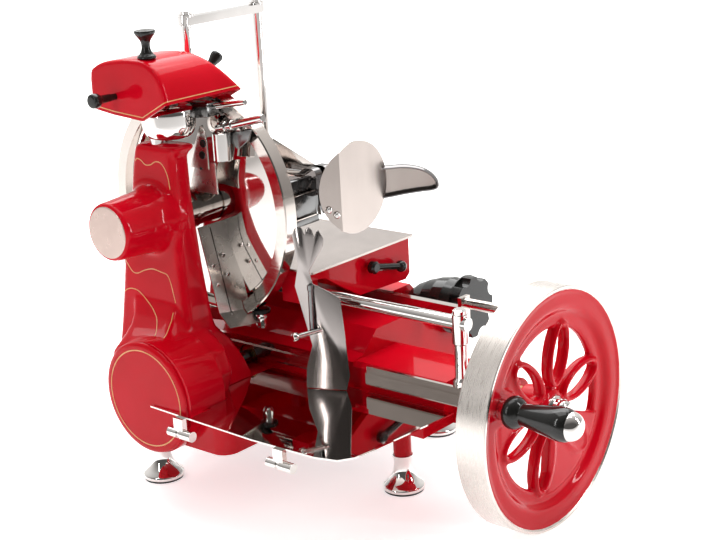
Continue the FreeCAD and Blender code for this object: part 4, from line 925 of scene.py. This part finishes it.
def brightness_of_floor(tree):
    """Painted glow of the floor, bright all round the object and behind it, with painted shade far in front
    of it, as if no lamp reached there.
    """
    where = tree.nodes.new("ShaderNodeTexCoord")
    ahead = tree.nodes.new("ShaderNodeVectorMath")
    ahead.operation = "DOT_PRODUCT"
    ahead.inputs[1].default_value = FRONT_OF_OBJECT
    tree.links.new(where.outputs["Object"], ahead.inputs[0])
    fade = tree.nodes.new("ShaderNodeMapRange")
    fade.interpolation_type = "SMOOTHSTEP"
    for name, value in (("From Min", FADE_FROM), ("From Max", FADE_TO), ("To Min", FLOOR_GLOW),
                        ("To Max", DIM_FLOOR_GLOW)):
        fade.inputs[name].default_value = value
    tree.links.new(ahead.outputs["Value"], fade.inputs["Value"])
    return fade.outputs["Result"]


def seen_light(tree, strength):
    """The given strength for rays of the eye, of reflections and of transmission, else none."""
    path = tree.nodes.new("ShaderNodeLightPath")
    either = tree.nodes.new("ShaderNodeMath")
    tree.links.new(path.outputs["Is Camera Ray"], either.inputs[0])
    tree.links.new(path.outputs["Is Glossy Ray"], either.inputs[1])
    every = tree.nodes.new("ShaderNodeMath")
    tree.links.new(either.outputs["Value"], every.inputs[0])
    tree.links.new(path.outputs["Is Transmission Ray"], every.inputs[1])
    scaled = tree.nodes.new("ShaderNodeMath")
    scaled.operation = "MULTIPLY"
    tree.links.new(strength, scaled.inputs[1])
    tree.links.new(every.outputs["Value"], scaled.inputs[0])
    return scaled.outputs["Value"]


def make_camera():
    view = bpy.data.cameras.new("view")
    view.sensor_width = 36.0
    view.lens = CAMERA_LENS_MM
    view.clip_end = 100
    camera = linked("view", view)
    ahead, right = Vector(CAMERA_AHEAD), Vector(CAMERA_RIGHT)
    turn = Matrix((right, right.cross(ahead), -ahead)).transposed()
    camera.matrix_world = Matrix.Translation(place(*CAMERA_AT)) @ turn.to_4x4()
    bpy.context.scene.camera = camera
    bpy.context.scene.view_settings.view_transform = "Standard"


def make_floor():
    bm = bmesh.new()
    bmesh.ops.create_circle(bm, cap_ends=True, radius=FLOOR_RADIUS, segments=64)
    mesh = bpy.data.meshes.new("floor")
    bm.to_mesh(mesh)
    bm.free()
    floor = linked("floor", mesh)
    pale = bpy.data.materials.new("pale_floor")
    pale.use_nodes = True
    surface = pale.node_tree.nodes["Principled BSDF"]
    surface.inputs["Base Color"].default_value = (0.93, 0.93, 0.93, 1)
    surface.inputs["Roughness"].default_value = 0.9
    surface.inputs["Specular IOR Level"].default_value = 0.1
    surface.inputs["Emission Color"].default_value = (1, 1, 1, 1)
    tree = pale.node_tree
    tree.links.new(seen_light(tree, brightness_of_floor(tree)), surface.inputs["Emission Strength"])
    mesh.materials.append(pale)


def make_world():
    """Room that is bright behind the machine and dim in front of it, for the metals to reflect."""
    world = bpy.data.worlds.new("studio")
    bpy.context.scene.world = world
    world.use_nodes = True
    nodes, links = world.node_tree.nodes, world.node_tree.links
    where = nodes.new("ShaderNodeTexCoord")
    towards = nodes.new("ShaderNodeVectorMath")
    towards.operation = "DOT_PRODUCT"
    towards.inputs[1].default_value = (0.62, 0.62, 0.45)
    ramp = nodes.new("ShaderNodeValToRGB")
    steps = ramp.color_ramp.elements
    steps[0].position, steps[0].color = 0.30, (0.10, 0.098, 0.095, 1)
    steps[1].position, steps[1].color = 0.85, (1.0, 0.99, 0.97, 1)
    middle = steps.new(0.55)
    middle.color = (0.42, 0.41, 0.40, 1)
    shift = nodes.new("ShaderNodeMapRange")
    shift.inputs["From Min"].default_value = -1.0
    shift.inputs["From Max"].default_value = 1.0
    links.new(where.outputs["Generated"], towards.inputs[0])
    links.new(towards.outputs["Value"], shift.inputs["Value"])
    links.new(shift.outputs["Result"], ramp.inputs["Fac"])
    links.new(ramp.outputs["Color"], nodes["Background"].inputs["Color"])
    nodes["Background"].inputs["Strength"].default_value = 1.0


def lamp_panel(name, energy, size, where, towards):
    data = bpy.data.lights.new(name, "AREA")
    data.shape = "RECTANGLE"
    data.size, data.size_y = size
    data.energy = energy
    lamp = linked(name, data)
    lamp.location = where
    lamp.rotation_euler = (Vector(towards) - Vector(where)).to_track_quat("-Z", "Y").to_euler()


def make_lamps():
    lamp_panel("overhead", 21, (1.6, 1.6), (0.2, 0.2, 2.2), (0.0, 0.0, 0))
    lamp_panel("backdrop_light", 260, (5.0, 5.0), (2.6, 2.3, 3.4), (2.9, 2.5, 0))
    lamp_panel("left_strip", 6, (0.05, 1.3), (-1.5, 0.2, 1.0), (-0.1, 0.1, 0.35))
    lamp_panel("front_strip", 7, (0.07, 1.2), (0.55, -1.25, 0.8), (-0.1, 0.1, 0.35))


make_camera()
make_floor()
make_world()
make_lamps()
make_column()
make_covers()
make_flywheel()
make_handle()
make_feet()
make_hood()
make_knobs()
make_sharpener_parts()
make_blade()
make_blade_plate_parts()
make_deflector()
make_press()
make_scoop()
